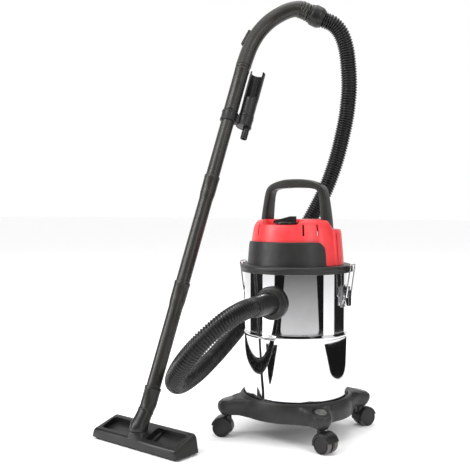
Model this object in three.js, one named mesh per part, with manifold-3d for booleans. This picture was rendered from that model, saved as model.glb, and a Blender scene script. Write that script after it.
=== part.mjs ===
// Wet and dry shop vacuum: polished steel drum on a four-castor dolly, lift-off motor head with a fixed
// carry handle, suction hose, and a three-piece wand standing on its floor nozzle.
// Millimetres, +Z up. Everything is laid out about the drum's axis, with the hose inlet facing -Y; the
// last lines move the assembly so that the middle of its footprint is the origin.
import * as THREE from "three";
import { mergeVertices } from "three/addons/utils/BufferGeometryUtils.js";
import Module from "manifold-3d";

const wasm = await Module();
wasm.setup();

// Driving dimensions
const GAP = 0.35; // clearance between touching or moving pieces
const DRUM_R = 135;
const DRUM_WALL = 1.2;
const DRUM_BOTTOM = 100;
const DRUM_TOP = 434;
const WAIST_Z = 268; // rolled bead round the middle of the drum
const INLET_Z = 356;
const INLET_HOLE_R = 25;
const BASE_BOTTOM = 58;
const BASE_R = 152;
const LOBE_REACH = 186; // from the drum's axis to the middle of a castor lobe
const LOBE_R = 27;
const CAP_TILT = THREE.MathUtils.degToRad(12);
const WHEEL_R = 24;
const WHEEL_WIDTH = 16;
const CASTOR_TRAIL = 14; // how far the wheels sit from the swivel axis
const RIM_R = 146.5;
const DECK_TOP = 447;
const SKIRT_TOP = 507;
const COVER_TOP = 563;
const COVER_WALL = 3;
const HANDLE_TOP = 664;
const HANDLE_WIDTH = 40; // the handle's section, front to back
const HANDLE_THICK = 17;
const HANDLE_HALF = 81; // from the middle of the handle to the middle of a leg
const HANDLE_Y = 4;
const KNOB_Y = -58;
const KNOB_POCKET_R = 36;
const KNOB_SEAT = 552; // floor of the pocket, which is open to the front
const GLAND_Z = 474;
const TUBE_R = 18.5;
const SOCKET_R = 21;
const BORE_R = 16;
const SOCKET_DEPTH = 40;
const WAND_FOOT = new THREE.Vector3(-263.4, -277, 143); // where the wand leaves the nozzle's neck
const WAND_LEAN = THREE.MathUtils.degToRad(23);
const WAND_YAW = THREE.MathUtils.degToRad(9.3);
const LOWER_JOINT = 278; // joints along the wand, from its foot
const MIDDLE_JOINT = 582;
const UPPER_JOINT = 917;
const NOZZLE_LENGTH = 300;
const NOZZLE_DEPTH = 80;
const NOZZLE_HEIGHT = 38;
const HOSE_R = 23.5;
const CUFF_R = 25.5;
const FOOTPRINT_SHIFT = new THREE.Vector3(122.9, 79.5, 0);

const MATERIALS = {
  steel: { color: 0xd4d4d6, roughness: 0.08, metalness: 1 },
  chrome: { color: 0xdcdcdc, roughness: 0.12, metalness: 1 },
  black: { color: 0x2c2c2a, roughness: 0.5, metalness: 0 },
  tubing: { color: 0x353431, roughness: 0.38, metalness: 0 },
  red: { color: 0xd0262c, roughness: 0.42, metalness: 0 },
  rubber: { color: 0x1d1d1d, roughness: 0.8, metalness: 0 },
  foam: { color: 0x4a4d52, roughness: 0.95, metalness: 0 },
  bristle: { color: 0x262422, roughness: 0.9, metalness: 0 },
  motor: { color: 0x9a9ca0, roughness: 0.4, metalness: 0.8 },
};

// ---- solids ----

// A closed geometry as a solid that can be joined and cut.
function toSolid(geometry) {
  const bare = geometry.clone();
  bare.deleteAttribute("normal");
  bare.deleteAttribute("uv");
  const merged = mergeVertices(bare, 1e-3);
  const mesh = new wasm.Mesh({
    numProp: 3,
    vertProperties: new Float32Array(merged.attributes.position.array),
    triVerts: new Uint32Array(merged.index.array),
  });
  return new wasm.Manifold(mesh);
}

// The geometry of a solid, ready for a mesh.
function toGeometry(solid) {
  const mesh = solid.getMesh();
  const geometry = new THREE.BufferGeometry();
  const points = new THREE.BufferAttribute(mesh.vertProperties, 3);
  geometry.setAttribute("position", points);
  geometry.setIndex(new THREE.BufferAttribute(mesh.triVerts, 1));
  geometry.computeVertexNormals();
  return geometry;
}

function join(first, ...rest) {
  let whole = toSolid(first);
  for (const piece of rest) whole = whole.add(toSolid(piece));
  return toGeometry(whole);
}

function cut(from, ...tools) {
  let whole = toSolid(from);
  for (const tool of tools) whole = whole.subtract(toSolid(tool));
  return toGeometry(whole);
}

function common(first, second) {
  return toGeometry(toSolid(first).intersect(toSolid(second)));
}

// ---- shapes ----

// Turns an outline of [radius, height] pairs about the Z axis; an outline off the axis is closed.
function turned(outline, segments = 20) {
  const points = outline.map(([r, z]) => new THREE.Vector2(r, z));
  const first = points[0];
  const last = points[points.length - 1];
  if (first.x > 0 || last.x > 0) points.push(first.clone());
  return new THREE.LatheGeometry(points, segments).rotateX(Math.PI / 2);
}

function rod(radius, low, high, segments = 20) {
  const outline = [
    [0, low],
    [radius, low],
    [radius, high],
    [0, high],
  ];
  return turned(outline, segments);
}

function pipe(inner, outer, low, high, segments = 20) {
  const outline = [
    [inner, low],
    [outer, low],
    [outer, high],
    [inner, high],
  ];
  return turned(outline, segments);
}

function block(x0, x1, y0, y1, z0, z1) {
  const size = new THREE.BoxGeometry(x1 - x0, y1 - y0, z1 - z0);
  return size.translate((x0 + x1) / 2, (y0 + y1) / 2, (z0 + z1) / 2);
}

// A flat outline raised from one height to another.
function raised(shape, low, high, curveSegments = 8) {
  const geometry = new THREE.ExtrudeGeometry(shape, {
    depth: high - low,
    bevelEnabled: false,
    curveSegments,
  });
  return geometry.translate(0, 0, low);
}

function roundedRect(width, height, radius) {
  const x = width / 2 - radius;
  const y = height / 2 - radius;
  const shape = new THREE.Shape();
  shape.absarc(x, -y, radius, -Math.PI / 2, 0);
  shape.absarc(x, y, radius, 0, Math.PI / 2);
  shape.absarc(-x, y, radius, Math.PI / 2, Math.PI);
  shape.absarc(-x, -y, radius, Math.PI, (3 * Math.PI) / 2);
  return shape;
}

function disc(radius) {
  const shape = new THREE.Shape();
  shape.absarc(0, 0, radius, 0, 2 * Math.PI);
  return shape;
}

// A section swept along a curve.
function swept(shape, curve, steps, curveSegments = 4) {
  return new THREE.ExtrudeGeometry(shape, {
    steps,
    curveSegments,
    bevelEnabled: false,
    extrudePath: curve,
  });
}

function curveThrough(points) {
  const vectors = points.map(([x, y, z]) => new THREE.Vector3(x, y, z));
  return new THREE.CatmullRomCurve3(vectors, false, "catmullrom", 0.5);
}

// Turns a geometry whose axis is +Z so that its axis is +Y.
function lyingAlongY(geometry) {
  return geometry.rotateX(-Math.PI / 2);
}

const vacuum = new THREE.Group();

function place(name, geometry, look, parent = vacuum) {
  const mesh = new THREE.Mesh(geometry, new THREE.MeshStandardMaterial(MATERIALS[look]));
  mesh.name = name;
  parent.add(mesh);
  return mesh;
}

// ---- drum and base ----

function drumOutline() {
  const inside = DRUM_R - DRUM_WALL;
  const floor = DRUM_BOTTOM + DRUM_WALL;
  return [
    [0, DRUM_BOTTOM],
    [126, DRUM_BOTTOM],
    [132.5, DRUM_BOTTOM + 3],
    [DRUM_R, DRUM_BOTTOM + 9],
    [DRUM_R, WAIST_Z - 7],
    [DRUM_R + 2, WAIST_Z - 3],
    [DRUM_R + 2, WAIST_Z + 3],
    [DRUM_R, WAIST_Z + 7],
    [DRUM_R, DRUM_TOP - 6],
    [DRUM_R + 2.5, DRUM_TOP - 4],
    [DRUM_R + 2.5, DRUM_TOP],
    [inside, DRUM_TOP],
    [inside, DRUM_BOTTOM + 9.5],
    [131.7, floor + 3],
    [125.5, floor],
    [0, floor],
  ];
}

// A shape that pokes out of the drum's front at the height of the inlet, its axis along -Y.
function atInlet(geometry) {
  return geometry.rotateX(Math.PI / 2).translate(0, 0, INLET_Z);
}

function makeDrum() {
  const hole = atInlet(rod(INLET_HOLE_R, 100, 170));
  place("drum", cut(turned(drumOutline(), 32), hole), "steel");
}

function baseDish() {
  return turned(
    [
      [0, 86],
      [141, 86],
      [144, BASE_BOTTOM],
      [BASE_R, BASE_BOTTOM],
      [BASE_R - 1, 82],
      [146, 101],
      [143, 106],
      [139.5, 107],
      [DRUM_R + 1, 103],
      [DRUM_R + 1, DRUM_BOTTOM - GAP],
      [0, DRUM_BOTTOM - GAP],
    ],
    32,
  );
}

// The drum's seat, cut out of whatever stands in it.
function drumSeat() {
  return rod(DRUM_R + 1, DRUM_BOTTOM - GAP, 130, 32);
}

// One castor lobe: a round-ended wedge whose top slopes outward, pointing along +X.
function lobe() {
  const shape = new THREE.Shape();
  const root = 120;
  shape.moveTo(root, -58);
  shape.lineTo(LOBE_REACH - 6, -LOBE_R);
  shape.absarc(LOBE_REACH, 0, LOBE_R, -Math.PI / 2, Math.PI / 2);
  shape.lineTo(LOBE_REACH - 6, LOBE_R);
  shape.lineTo(root, 58);
  const body = raised(shape, BASE_BOTTOM, 115, 4);
  const slope = block(-60, 90, -90, 90, 0, 60);
  slope.rotateY(CAP_TILT).translate(LOBE_REACH - 6, 0, 97);
  const seat = drumSeat();
  const stemHole = rod(5 + GAP, BASE_BOTTOM - 5, 78, 12).translate(LOBE_REACH, 0, 0);
  return cut(body, slope, seat, stemHole);
}

const CASTORS = [
  { name: "front_right", at: -45, trail: -15 },
  { name: "back_right", at: 45, trail: 60 },
  { name: "back_left", at: 135, trail: 150 },
  { name: "front_left", at: -135, trail: -160 },
];

function makeBase() {
  const lobes = CASTORS.map((c) => lobe().rotateZ(THREE.MathUtils.degToRad(c.at)));
  const whole = join(baseDish(), ...lobes);
  const underside = turned([
    [0, 40],
    [140, 40],
    [140, BASE_BOTTOM + 1],
    [138, 86 - GAP],
    [0, 86 - GAP],
  ]);
  place("base", cut(whole, underside), "black");
}

// ---- castors ----

function castorHood() {
  const axle = [CASTOR_TRAIL, 0, WHEEL_R];
  const fender = new THREE.Shape();
  fender.absarc(0, 0, WHEEL_R + 4.2, -0.25, Math.PI + 0.5);
  fender.absarc(0, 0, 12, Math.PI + 0.5, 2 * Math.PI - 0.25);
  const roof = raised(fender, -21, 21, 4).rotateX(Math.PI / 2).translate(...axle);
  const boss = rod(10, 38, BASE_BOTTOM - 2, 12);
  const web = 3.9;
  const room = (low, high) => rod(WHEEL_R + 1.8, low, high, 14).rotateX(Math.PI / 2).translate(...axle);
  const axleHole = rod(3 + GAP, -30, 30, 12).rotateX(Math.PI / 2).translate(...axle);
  const stemHole = rod(5 + GAP, 47, 70, 12);
  const body = join(roof, boss);
  return cut(body, room(web, 40), room(-40, -web), axleHole, stemHole);
}

function castorWheel() {
  return turned(
    [
      [3 + GAP, 0],
      [WHEEL_R - 1, 0],
      [WHEEL_R, 2],
      [WHEEL_R, WHEEL_WIDTH - 3],
      [WHEEL_R - 3, WHEEL_WIDTH],
      [3 + GAP, WHEEL_WIDTH],
    ],
    16,
  );
}

function makeCastor({ name, at, trail }) {
  const angle = THREE.MathUtils.degToRad(at);
  const castor = new THREE.Group();
  castor.position.set(LOBE_REACH * Math.cos(angle), LOBE_REACH * Math.sin(angle), 0);
  castor.rotation.z = THREE.MathUtils.degToRad(trail);
  vacuum.add(castor);
  place("stem_" + name, rod(5, 48, 77, 10), "chrome", castor);
  place("hood_" + name, castorHood(), "black", castor);
  const axle = rod(3, -20.5, 20.5, 10).rotateX(Math.PI / 2);
  place("axle_" + name, axle.translate(CASTOR_TRAIL, 0, WHEEL_R), "chrome", castor);
  const wheelStart = 3.9 + GAP;
  const outer = castorWheel().translate(0, 0, wheelStart).rotateX(Math.PI / 2);
  const inner = castorWheel().translate(0, 0, wheelStart).rotateX(-Math.PI / 2);
  place("wheel_a_" + name, outer.translate(CASTOR_TRAIL, 0, WHEEL_R), "rubber", castor);
  place("wheel_b_" + name, inner.translate(CASTOR_TRAIL, 0, WHEEL_R), "rubber", castor);
}

// ---- hose inlet ----

function makeInlet() {
  const outsideR = DRUM_R + GAP;
  const flange = turned([
    [20, 118],
    [24.5, 118],
    [24.5, 128],
    [42.5, 128],
    [42.5, 144],
    [40, 148],
    [33, 150],
    [32, 157],
    [27.5, 158],
    [27.5, 146],
    [20, 146],
  ]);
  const ring = cut(atInlet(flange), barrel(outsideR + 1.2));
  const neck = atInlet(pipe(20, 24.5, 112, 146));
  place("inlet_flange", join(ring, neck), "black");
  const gasketBlank = atInlet(pipe(26, 40, 126, 140));
  const gasket = common(cut(gasketBlank, barrel(outsideR)), barrel(outsideR + 0.9));
  place("inlet_gasket", gasket, "rubber");
  const nutBlank = atInlet(pipe(24.5 + GAP, 34, 114, 134));
  place("inlet_nut", common(nutBlank, barrel(DRUM_R - DRUM_WALL - 1.2)), "black");
}

// A plain cylinder about the drum's axis, used to shape what lies against the drum.
function barrel(radius) {
  return rod(radius, 300, 420, 48);
}

// ---- latches: lever on the drum, wire bail up to a lug on the head ----

const LATCH_PIVOT = { u: 144, w: 384 };
const BAIL_PIVOT = { u: 148.5, w: 366 };
const SIDES = [
  { name: "right", turn: 0 },
  { name: "left", turn: Math.PI },
];

// A rod along Y through a point of the latch's side view.
function crossPin(radius, half, { u, w }, segments = 16) {
  return lyingAlongY(rod(radius, -half, half, segments)).translate(u, 0, w);
}

function latchBracket() {
  const plate = cut(block(130, 138.5, -15, 15, 340, 396), rod(DRUM_R + GAP, 330, 420, 128));
  const ears = [-13.5, 10.5].map((y) => block(136, 148, y, y + 3, 376, 392));
  const pinHole = crossPin(1.6 + GAP, 20, LATCH_PIVOT);
  const pin = crossPin(1.6, 13, LATCH_PIVOT);
  return join(cut(join(plate, ...ears), pinHole), pin, crossPin(1.95, 13.4, LATCH_PIVOT));
}

function latchLever() {
  const side = new THREE.Shape();
  side.moveTo(0, 4.2);
  side.absarc(0, 0, 4.2, Math.PI / 2, Math.PI * 1.05, false);
  side.lineTo(-2.6, -14);
  side.lineTo(2.5, -38);
  side.lineTo(7, -42);
  side.lineTo(8.6, -41);
  side.lineTo(8.8, -14);
  side.lineTo(6.8, 0);
  side.lineTo(4.2, 3.2);
  const body = raised(side, -9.6, 9.6, 6).rotateX(Math.PI / 2);
  const pinHole = lyingAlongY(rod(1.95 + GAP, -20, 20, 16));
  const bailHole = lyingAlongY(rod(1.6 + GAP, -20, 20, 16));
  bailHole.translate(BAIL_PIVOT.u - LATCH_PIVOT.u, 0, BAIL_PIVOT.w - LATCH_PIVOT.w);
  return cut(body, pinHole, bailHole).translate(LATCH_PIVOT.u, 0, LATCH_PIVOT.w);
}

// The wire bail: one closed loop of wire through the lever and up outside the lug.
function latchBail() {
  const wire = 1.6;
  const low = BAIL_PIVOT;
  const topU = 160;
  const topW = 449;
  const half = 15.5;
  const corner = 5;
  const up = new THREE.Vector2(topU - low.u, topW - low.w);
  const length = up.length();
  const loop = new THREE.CurvePath();
  const p = (y, d) => new THREE.Vector3(low.u + (up.x * d) / length, y, low.w + (up.y * d) / length);
  loop.add(new THREE.LineCurve3(p(0, 0), p(half - corner, 0)));
  loop.add(new THREE.QuadraticBezierCurve3(p(half - corner, 0), p(half, 0), p(half, corner)));
  loop.add(new THREE.LineCurve3(p(half, corner), p(half, length - corner)));
  const far = p(half, length);
  loop.add(new THREE.QuadraticBezierCurve3(p(half, length - corner), far, p(half - corner, length)));
  loop.add(new THREE.LineCurve3(p(half - corner, length), p(0, length)));
  const halfLoop = swept(disc(wire), loop, 10, 2);
  const otherHalf = halfLoop.clone().scale(1, -1, 1);
  const flipped = otherHalf.index ? otherHalf.toNonIndexed() : otherHalf;
  return join(halfLoop, reversed(flipped), crossPin(wire, 2, { u: low.u, w: low.w }),
    crossPin(wire, 2, { u: topU, w: topW }));
}

// Turns every face of a mirrored geometry round again.
function reversed(geometry) {
  const array = geometry.attributes.position.array;
  for (let i = 0; i < array.length; i += 9) {
    for (let k = 3; k < 6; k++) {
      [array[i + k], array[i + k + 3]] = [array[i + k + 3], array[i + k]];
    }
  }
  return geometry;
}

function makeLatches() {
  for (const { name, turn } of SIDES) {
    place("latch_bracket_" + name, latchBracket().rotateZ(turn), "chrome");
    place("latch_lever_" + name, latchLever().rotateZ(turn), "chrome");
    place("latch_bail_" + name, latchBail().rotateZ(turn), "chrome");
  }
}

// ---- motor head ----

const SKIRT_HALF_WIDTH = 113;

function skirtWindow() {
  const shape = new THREE.Shape();
  const low = DECK_TOP - 2;
  const corner = 24;
  shape.moveTo(-SKIRT_HALF_WIDTH, low);
  shape.lineTo(SKIRT_HALF_WIDTH, low);
  shape.lineTo(SKIRT_HALF_WIDTH - 3, SKIRT_TOP - corner);
  shape.quadraticCurveTo(SKIRT_HALF_WIDTH - 5, SKIRT_TOP, SKIRT_HALF_WIDTH - corner, SKIRT_TOP);
  shape.lineTo(-SKIRT_HALF_WIDTH + corner, SKIRT_TOP);
  shape.quadraticCurveTo(-SKIRT_HALF_WIDTH + 5, SKIRT_TOP, -SKIRT_HALF_WIDTH + 3, SKIRT_TOP - corner);
  return raised(shape, 20, 160).rotateX(Math.PI / 2);
}

function makeHeadBase() {
  const deck = turned([
    [40, 440],
    [DRUM_R - 3, 440],
    [DRUM_R - 2.2, DRUM_TOP + 2.2],
    [DRUM_R + 3.2, DRUM_TOP + 2.2],
    [DRUM_R + 3.2, 427],
    [RIM_R - 3, 427],
    [RIM_R, 430],
    [RIM_R, 438],
    [RIM_R - 2.5, 443],
    [RIM_R - 8, DECK_TOP],
    [40, DECK_TOP],
  ], 32);
  const band = turned([
    [118.5, DECK_TOP - 2],
    [127.5, DECK_TOP - 2],
    [126, 462],
    [122, SKIRT_TOP],
    [117.5, SKIRT_TOP],
  ], 32);
  const skirt = common(band, skirtWindow());
  const lugs = SIDES.map(({ turn }) => block(142, 157, -10, 10, 431, 447).rotateZ(turn));
  place("head_base", join(deck, skirt, ...lugs), "black");
}

function handlePath() {
  const legTop = 612;
  const top = HANDLE_TOP - HANDLE_THICK / 2;
  const path = new THREE.CurvePath();
  const p = (x, z) => new THREE.Vector3(x, HANDLE_Y, z);
  const foot = HANDLE_HALF + 7;
  const shoulder = 50;
  const bend = HANDLE_HALF - 6; // where the corners are drawn towards
  path.add(new THREE.LineCurve3(p(-foot, 534), p(-HANDLE_HALF, legTop)));
  const shoulderTop = top - 3;
  const curve = (from, towards, to) => path.add(new THREE.QuadraticBezierCurve3(from, towards, to));
  curve(p(-HANDLE_HALF, legTop), p(-bend, top - 7), p(-shoulder, shoulderTop));
  curve(p(-shoulder, shoulderTop), p(0, top + 5), p(shoulder, shoulderTop));
  curve(p(shoulder, shoulderTop), p(bend, top - 7), p(HANDLE_HALF, legTop));
  path.add(new THREE.LineCurve3(p(HANDLE_HALF, legTop), p(foot, 534)));
  return path;
}

function handleSolid(extra) {
  return swept(roundedRect(HANDLE_WIDTH + extra, HANDLE_THICK + extra, 5), handlePath(), 18, 2);
}

function makeCarryHandle() {
  place("carry_handle", handleSolid(0), "black");
}

const REAR_START = -16; // behind this the cover is a low block with the air grille in it
const REAR_TOP = 538;

// The red cover's outside, made a wall's thickness smaller for its inside.
function coverSolid(inset) {
  const low = inset > 0 ? DECK_TOP - 5 : DECK_TOP + GAP;
  const body = turned([
    [0, low],
    [114 - inset, low],
    [114 - inset, SKIRT_TOP],
    [107 - inset, 551 - inset],
    [101 - inset, 559 - inset],
    [80 - inset, COVER_TOP - inset],
    [0, COVER_TOP - inset],
  ], 32);
  const flank = turned([
    [60, low],
    [124.5 - inset, low],
    [119 - inset, 490],
    [112 - inset, 537],
    [104 - inset, 556 - inset],
    [60, 556 - inset],
  ], 32);
  const front = raised(frontWedge(), low - 10, COVER_TOP + 10);
  const aboveRear = block(-140, 140, REAR_START, 140, REAR_TOP - inset, COVER_TOP + 10);
  const rear = turned([
    [60, low],
    [126 - inset, low],
    [118.5 - inset, REAR_TOP - 4 - inset],
    [115 - inset, REAR_TOP - inset],
    [60, REAR_TOP - inset],
  ], 32);
  const rearRoom = block(-140, 140, REAR_START, 140, low - 10, COVER_TOP);
  const flankSides = toSolid(flank).subtract(toSolid(front)).subtract(toSolid(aboveRear));
  const rearBlock = toSolid(rear).intersect(toSolid(rearRoom));
  return toSolid(body).add(flankSides).add(rearBlock);
}

// The sector in front of the drum's axis that the black skirt fills.
function frontWedge() {
  const shape = new THREE.Shape();
  shape.moveTo(0, 0);
  shape.lineTo(-SKIRT_HALF_WIDTH - 13, -38);
  shape.lineTo(-SKIRT_HALF_WIDTH - 13, -180);
  shape.lineTo(SKIRT_HALF_WIDTH + 13, -180);
  shape.lineTo(SKIRT_HALF_WIDTH + 13, -38);
  return shape;
}

// The dip in the cover's top from the knob's pocket to its front edge.
function frontValley() {
  const shape = new THREE.Shape();
  shape.moveTo(-34, KNOB_SEAT);
  shape.lineTo(34, KNOB_SEAT);
  shape.lineTo(48, COVER_TOP + 3);
  shape.lineTo(-48, COVER_TOP + 3);
  return raised(shape, -KNOB_Y, 140).rotateX(Math.PI / 2);
}

function ventSlots() {
  const slots = [];
  for (const angle of [-145, -125, -55, -35]) {
    const slot = block(92, 118, -2, 2, 523, 551);
    slots.push(slot.rotateZ(THREE.MathUtils.degToRad(angle)));
  }
  for (let angle = 0; angle <= 180; angle += 9) {
    const slot = block(108, 140, -1.8, 1.8, 460, 528);
    slots.push(slot.rotateZ(THREE.MathUtils.degToRad(angle)));
  }
  return slots;
}

function makeMotorCover() {
  let cover = coverSolid(0).subtract(coverSolid(COVER_WALL));
  const skirtRing = pipe(116, 140, DECK_TOP - 5, SKIRT_TOP + GAP, 32);
  const skirtRoom = toSolid(common(skirtRing, skirtWindow().scale(1.006, 1, 1)));
  const pocket = rod(KNOB_POCKET_R + COVER_WALL, KNOB_SEAT - COVER_WALL, COVER_TOP - 2, 24);
  const pocketRoom = rod(KNOB_POCKET_R, KNOB_SEAT, COVER_TOP + 5, 24).translate(0, KNOB_Y, 0);
  const cup = toSolid(pocket.translate(0, KNOB_Y, 0)).intersect(coverSolid(0));
  const lip = block(-48, 48, -130, KNOB_Y, KNOB_SEAT - COVER_WALL, COVER_TOP);
  const lipFloor = coverSolid(0).intersect(toSolid(lip));
  cover = cover.add(cup).add(lipFloor).subtract(toSolid(pocketRoom)).subtract(toSolid(frontValley()));
  cover = cover.subtract(skirtRoom);
  const spindleHole = rod(6.3 + GAP, KNOB_SEAT - 12, KNOB_SEAT + 8, 12).translate(0, KNOB_Y, 0);
  cover = cover.subtract(toSolid(spindleHole)).subtract(toSolid(handleSolid(0.8)));
  for (const slot of ventSlots()) cover = cover.subtract(toSolid(slot));
  const glandHole = lyingAlongY(rod(7 + GAP, 90, 150, 20)).translate(0, 0, GLAND_Z);
  cover = cover.subtract(toSolid(glandHole));
  place("motor_cover", toGeometry(cover), "red");
}

function makeKnob() {
  const seat = KNOB_SEAT + 0.6;
  const skirtDisc = turned([
    [0, seat],
    [30, seat],
    [29, seat + 3.5],
    [0, seat + 5],
  ], 24);
  const spindle = rod(6, seat - 10, seat + 1, 12);
  const grip = new THREE.Shape();
  grip.moveTo(-33, -3.5);
  grip.lineTo(16, -8);
  grip.absarc(18, 0, 8, -Math.PI / 2, Math.PI / 2);
  grip.lineTo(16, 8);
  grip.lineTo(-33, 3.5);
  const slope = block(-70, 8, -20, 20, 0, 20);
  slope.rotateY(THREE.MathUtils.degToRad(-15)).translate(10, 0, 571.5);
  const handle = cut(raised(grip, seat + 2, 571.5), slope);
  const knob = join(skirtDisc, spindle, handle);
  place("switch_knob", knob.rotateZ(THREE.MathUtils.degToRad(20)).translate(0, KNOB_Y, 0), "black");
}

function makeMotor() {
  const housing = [
    [42, DECK_TOP + GAP],
    [66, DECK_TOP + GAP],
    [66, 469],
    [12, 469],
    [12, 466],
    [63, 466],
    [63, 450],
    [42, 450],
  ];
  place("fan_housing", turned(housing), "motor");
  const motor = [
    [4.5, 469 + GAP],
    [30, 469 + GAP],
    [45, 474],
    [45, 526],
    [30, 532],
    [14, 540],
    [4.5, 540],
  ];
  place("motor", turned(motor), "motor");
  place("motor_shaft", rod(4, 451, 544, 20), "chrome");
  const fan = [
    [4 + GAP, 452],
    [58, 452],
    [58, 454],
    [20, 456],
    [57, 461],
    [57, 463],
    [12, 463],
    [4 + GAP, 463],
  ];
  place("impeller", turned(fan), "motor");
}

const CAGE_SLOTS = 6;

function makeFilter() {
  const tube = [
    [52, 330],
    [55, 330],
    [55, 434],
    [66, 434],
    [66, 440 - GAP],
    [44, 440 - GAP],
    [44, 434],
    [52, 434],
  ];
  const floor = pipe(12, 53.5, 330, 333);
  const slots = [];
  for (let i = 0; i < CAGE_SLOTS; i++) {
    const slot = block(40, 60, -11, 11, 345, 422);
    slots.push(slot.rotateZ((2 * i * Math.PI) / CAGE_SLOTS));
  }
  place("filter_cage", cut(join(turned(tube), floor), ...slots), "black");
  place("filter_sleeve", pipe(56, 63, 333, 432), "foam");
  const ball = [
    [0, 334],
    [16, 336],
    [23, 344],
    [24, 356],
    [23, 368],
    [16, 376],
    [0, 378],
  ];
  place("float", turned(ball, 16), "black");
  const gasket = [
    [DRUM_R - 1.5, DRUM_TOP + GAP],
    [DRUM_R + 2.5, DRUM_TOP + GAP],
    [DRUM_R + 2.5, DRUM_TOP + 2],
    [DRUM_R - 1.5, DRUM_TOP + 2],
  ];
  place("head_gasket", turned(gasket, 24), "rubber");
}

function makeGland() {
  const outline = [
    [3.2, 112],
    [7, 112],
    [7, 127.5],
    [10.5, 127.5],
    [10.5, 131],
    [6, 133],
    [5, 146],
    [3.2, 146],
  ];
  place("cord_gland", lyingAlongY(turned(outline, 12)).translate(0, 0, GLAND_Z), "black");
}

// ---- wand, standing on its nozzle ----

const wand = new THREE.Group();
wand.position.copy(WAND_FOOT);
wand.rotation.set(-WAND_LEAN, 0, -WAND_YAW, "ZYX");

// A wand tube from one joint to the next, its lower end pushed into the socket below. Its own socket is a
// wider sleeve of the given length.
function wandTube(low, high, sleeve = 70, taper = 18) {
  return turned([
    [BORE_R, low - SOCKET_DEPTH],
    [TUBE_R - 1, low - SOCKET_DEPTH],
    [TUBE_R - 0.6, low],
    [TUBE_R, low + 6],
    [TUBE_R, high - sleeve],
    [SOCKET_R - 0.4, high - sleeve + taper],
    [SOCKET_R, high - 2],
    [SOCKET_R - 1.2, high],
    [TUBE_R - 0.6 + GAP, high],
    [TUBE_R - 0.9 + GAP, high - SOCKET_DEPTH - 1],
    [BORE_R, high - SOCKET_DEPTH - 1],
  ], 16);
}

const GRIP_R = 22;

function gripCurve() {
  // From the wand's line round to the hose, in the drum's frame.
  return curveThrough([
    [-209.6, 50.3, 925],
    [-206.5, 69.5, 971],
    [-202, 89, 1016],
    [-194, 108, 1059],
    [-178, 127, 1098],
    [-153, 146, 1130],
    [-120, 162, 1152],
    [-93, 176, 1162],
    [-72, 186.5, 1160],
    [-54, 195.6, 1150.6],
  ]);
}

function makeHandleTube() {
  const spigot = turned([
    [BORE_R, UPPER_JOINT - SOCKET_DEPTH],
    [TUBE_R - 1, UPPER_JOINT - SOCKET_DEPTH],
    [TUBE_R - 0.6, UPPER_JOINT + GAP],
    [SOCKET_R - 0.5, UPPER_JOINT + GAP],
    [SOCKET_R, UPPER_JOINT + 3],
    [SOCKET_R, UPPER_JOINT + 9],
    [SOCKET_R - 1.5, UPPER_JOINT + 9],
    [SOCKET_R - 1.5, UPPER_JOINT + 16],
    [BORE_R, UPPER_JOINT + 16],
  ], 16);
  wand.updateMatrix();
  const lower = spigot.applyMatrix4(wand.matrix);
  const section = disc(GRIP_R);
  section.holes.push(disc(BORE_R + 1.5));
  const bend = toSolid(swept(section, gripCurve(), 14, 4));
  const spigotRoom = rod(26, UPPER_JOINT - 90, UPPER_JOINT + 8, 14).applyMatrix4(wand.matrix);
  const whole = bend.subtract(toSolid(spigotRoom)).add(toSolid(lower));
  place("handle_tube", toGeometry(whole), "tubing");
}

function makeWandTubes() {
  place("wand_tube_lower", wandTube(0, LOWER_JOINT), "tubing", wand);
  place("wand_tube_middle", wandTube(LOWER_JOINT, MIDDLE_JOINT), "tubing", wand);
  const wideLength = UPPER_JOINT - CLIP_TOP - 1; // the top tube is wide from the clip up
  place("wand_tube_upper", wandTube(MIDDLE_JOINT, UPPER_JOINT, wideLength, 4), "tubing", wand);
}

// The clip: a ring on the wand and a ring that holds the tool beside and behind it. The clip and the tool
// are laid out with the tool along +X, then turned about the wand.
const TOOL_OFFSET = 47;
const TOOL_TURN = THREE.MathUtils.degToRad(54);
const CLIP_LOW = 749;
const CLIP_TOP = 778;
const TOOL_STEM_R = 19;
const TOOL_BODY_R = 21.5;
const TOOL_TOP = 918;

function makeClip() {
  const grip = pipe(TUBE_R + GAP, TUBE_R + 4.5, CLIP_LOW, CLIP_TOP);
  const holder = pipe(TOOL_STEM_R + GAP, TOOL_STEM_R + 3, CLIP_LOW, CLIP_TOP).translate(TOOL_OFFSET, 0, 0);
  const bridge = block(TUBE_R + 1, TOOL_OFFSET - TOOL_STEM_R - 1, -9, 9, CLIP_LOW, CLIP_TOP);
  place("accessory_clip", join(grip, holder, bridge).rotateZ(TOOL_TURN), "black", wand);
}

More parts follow.
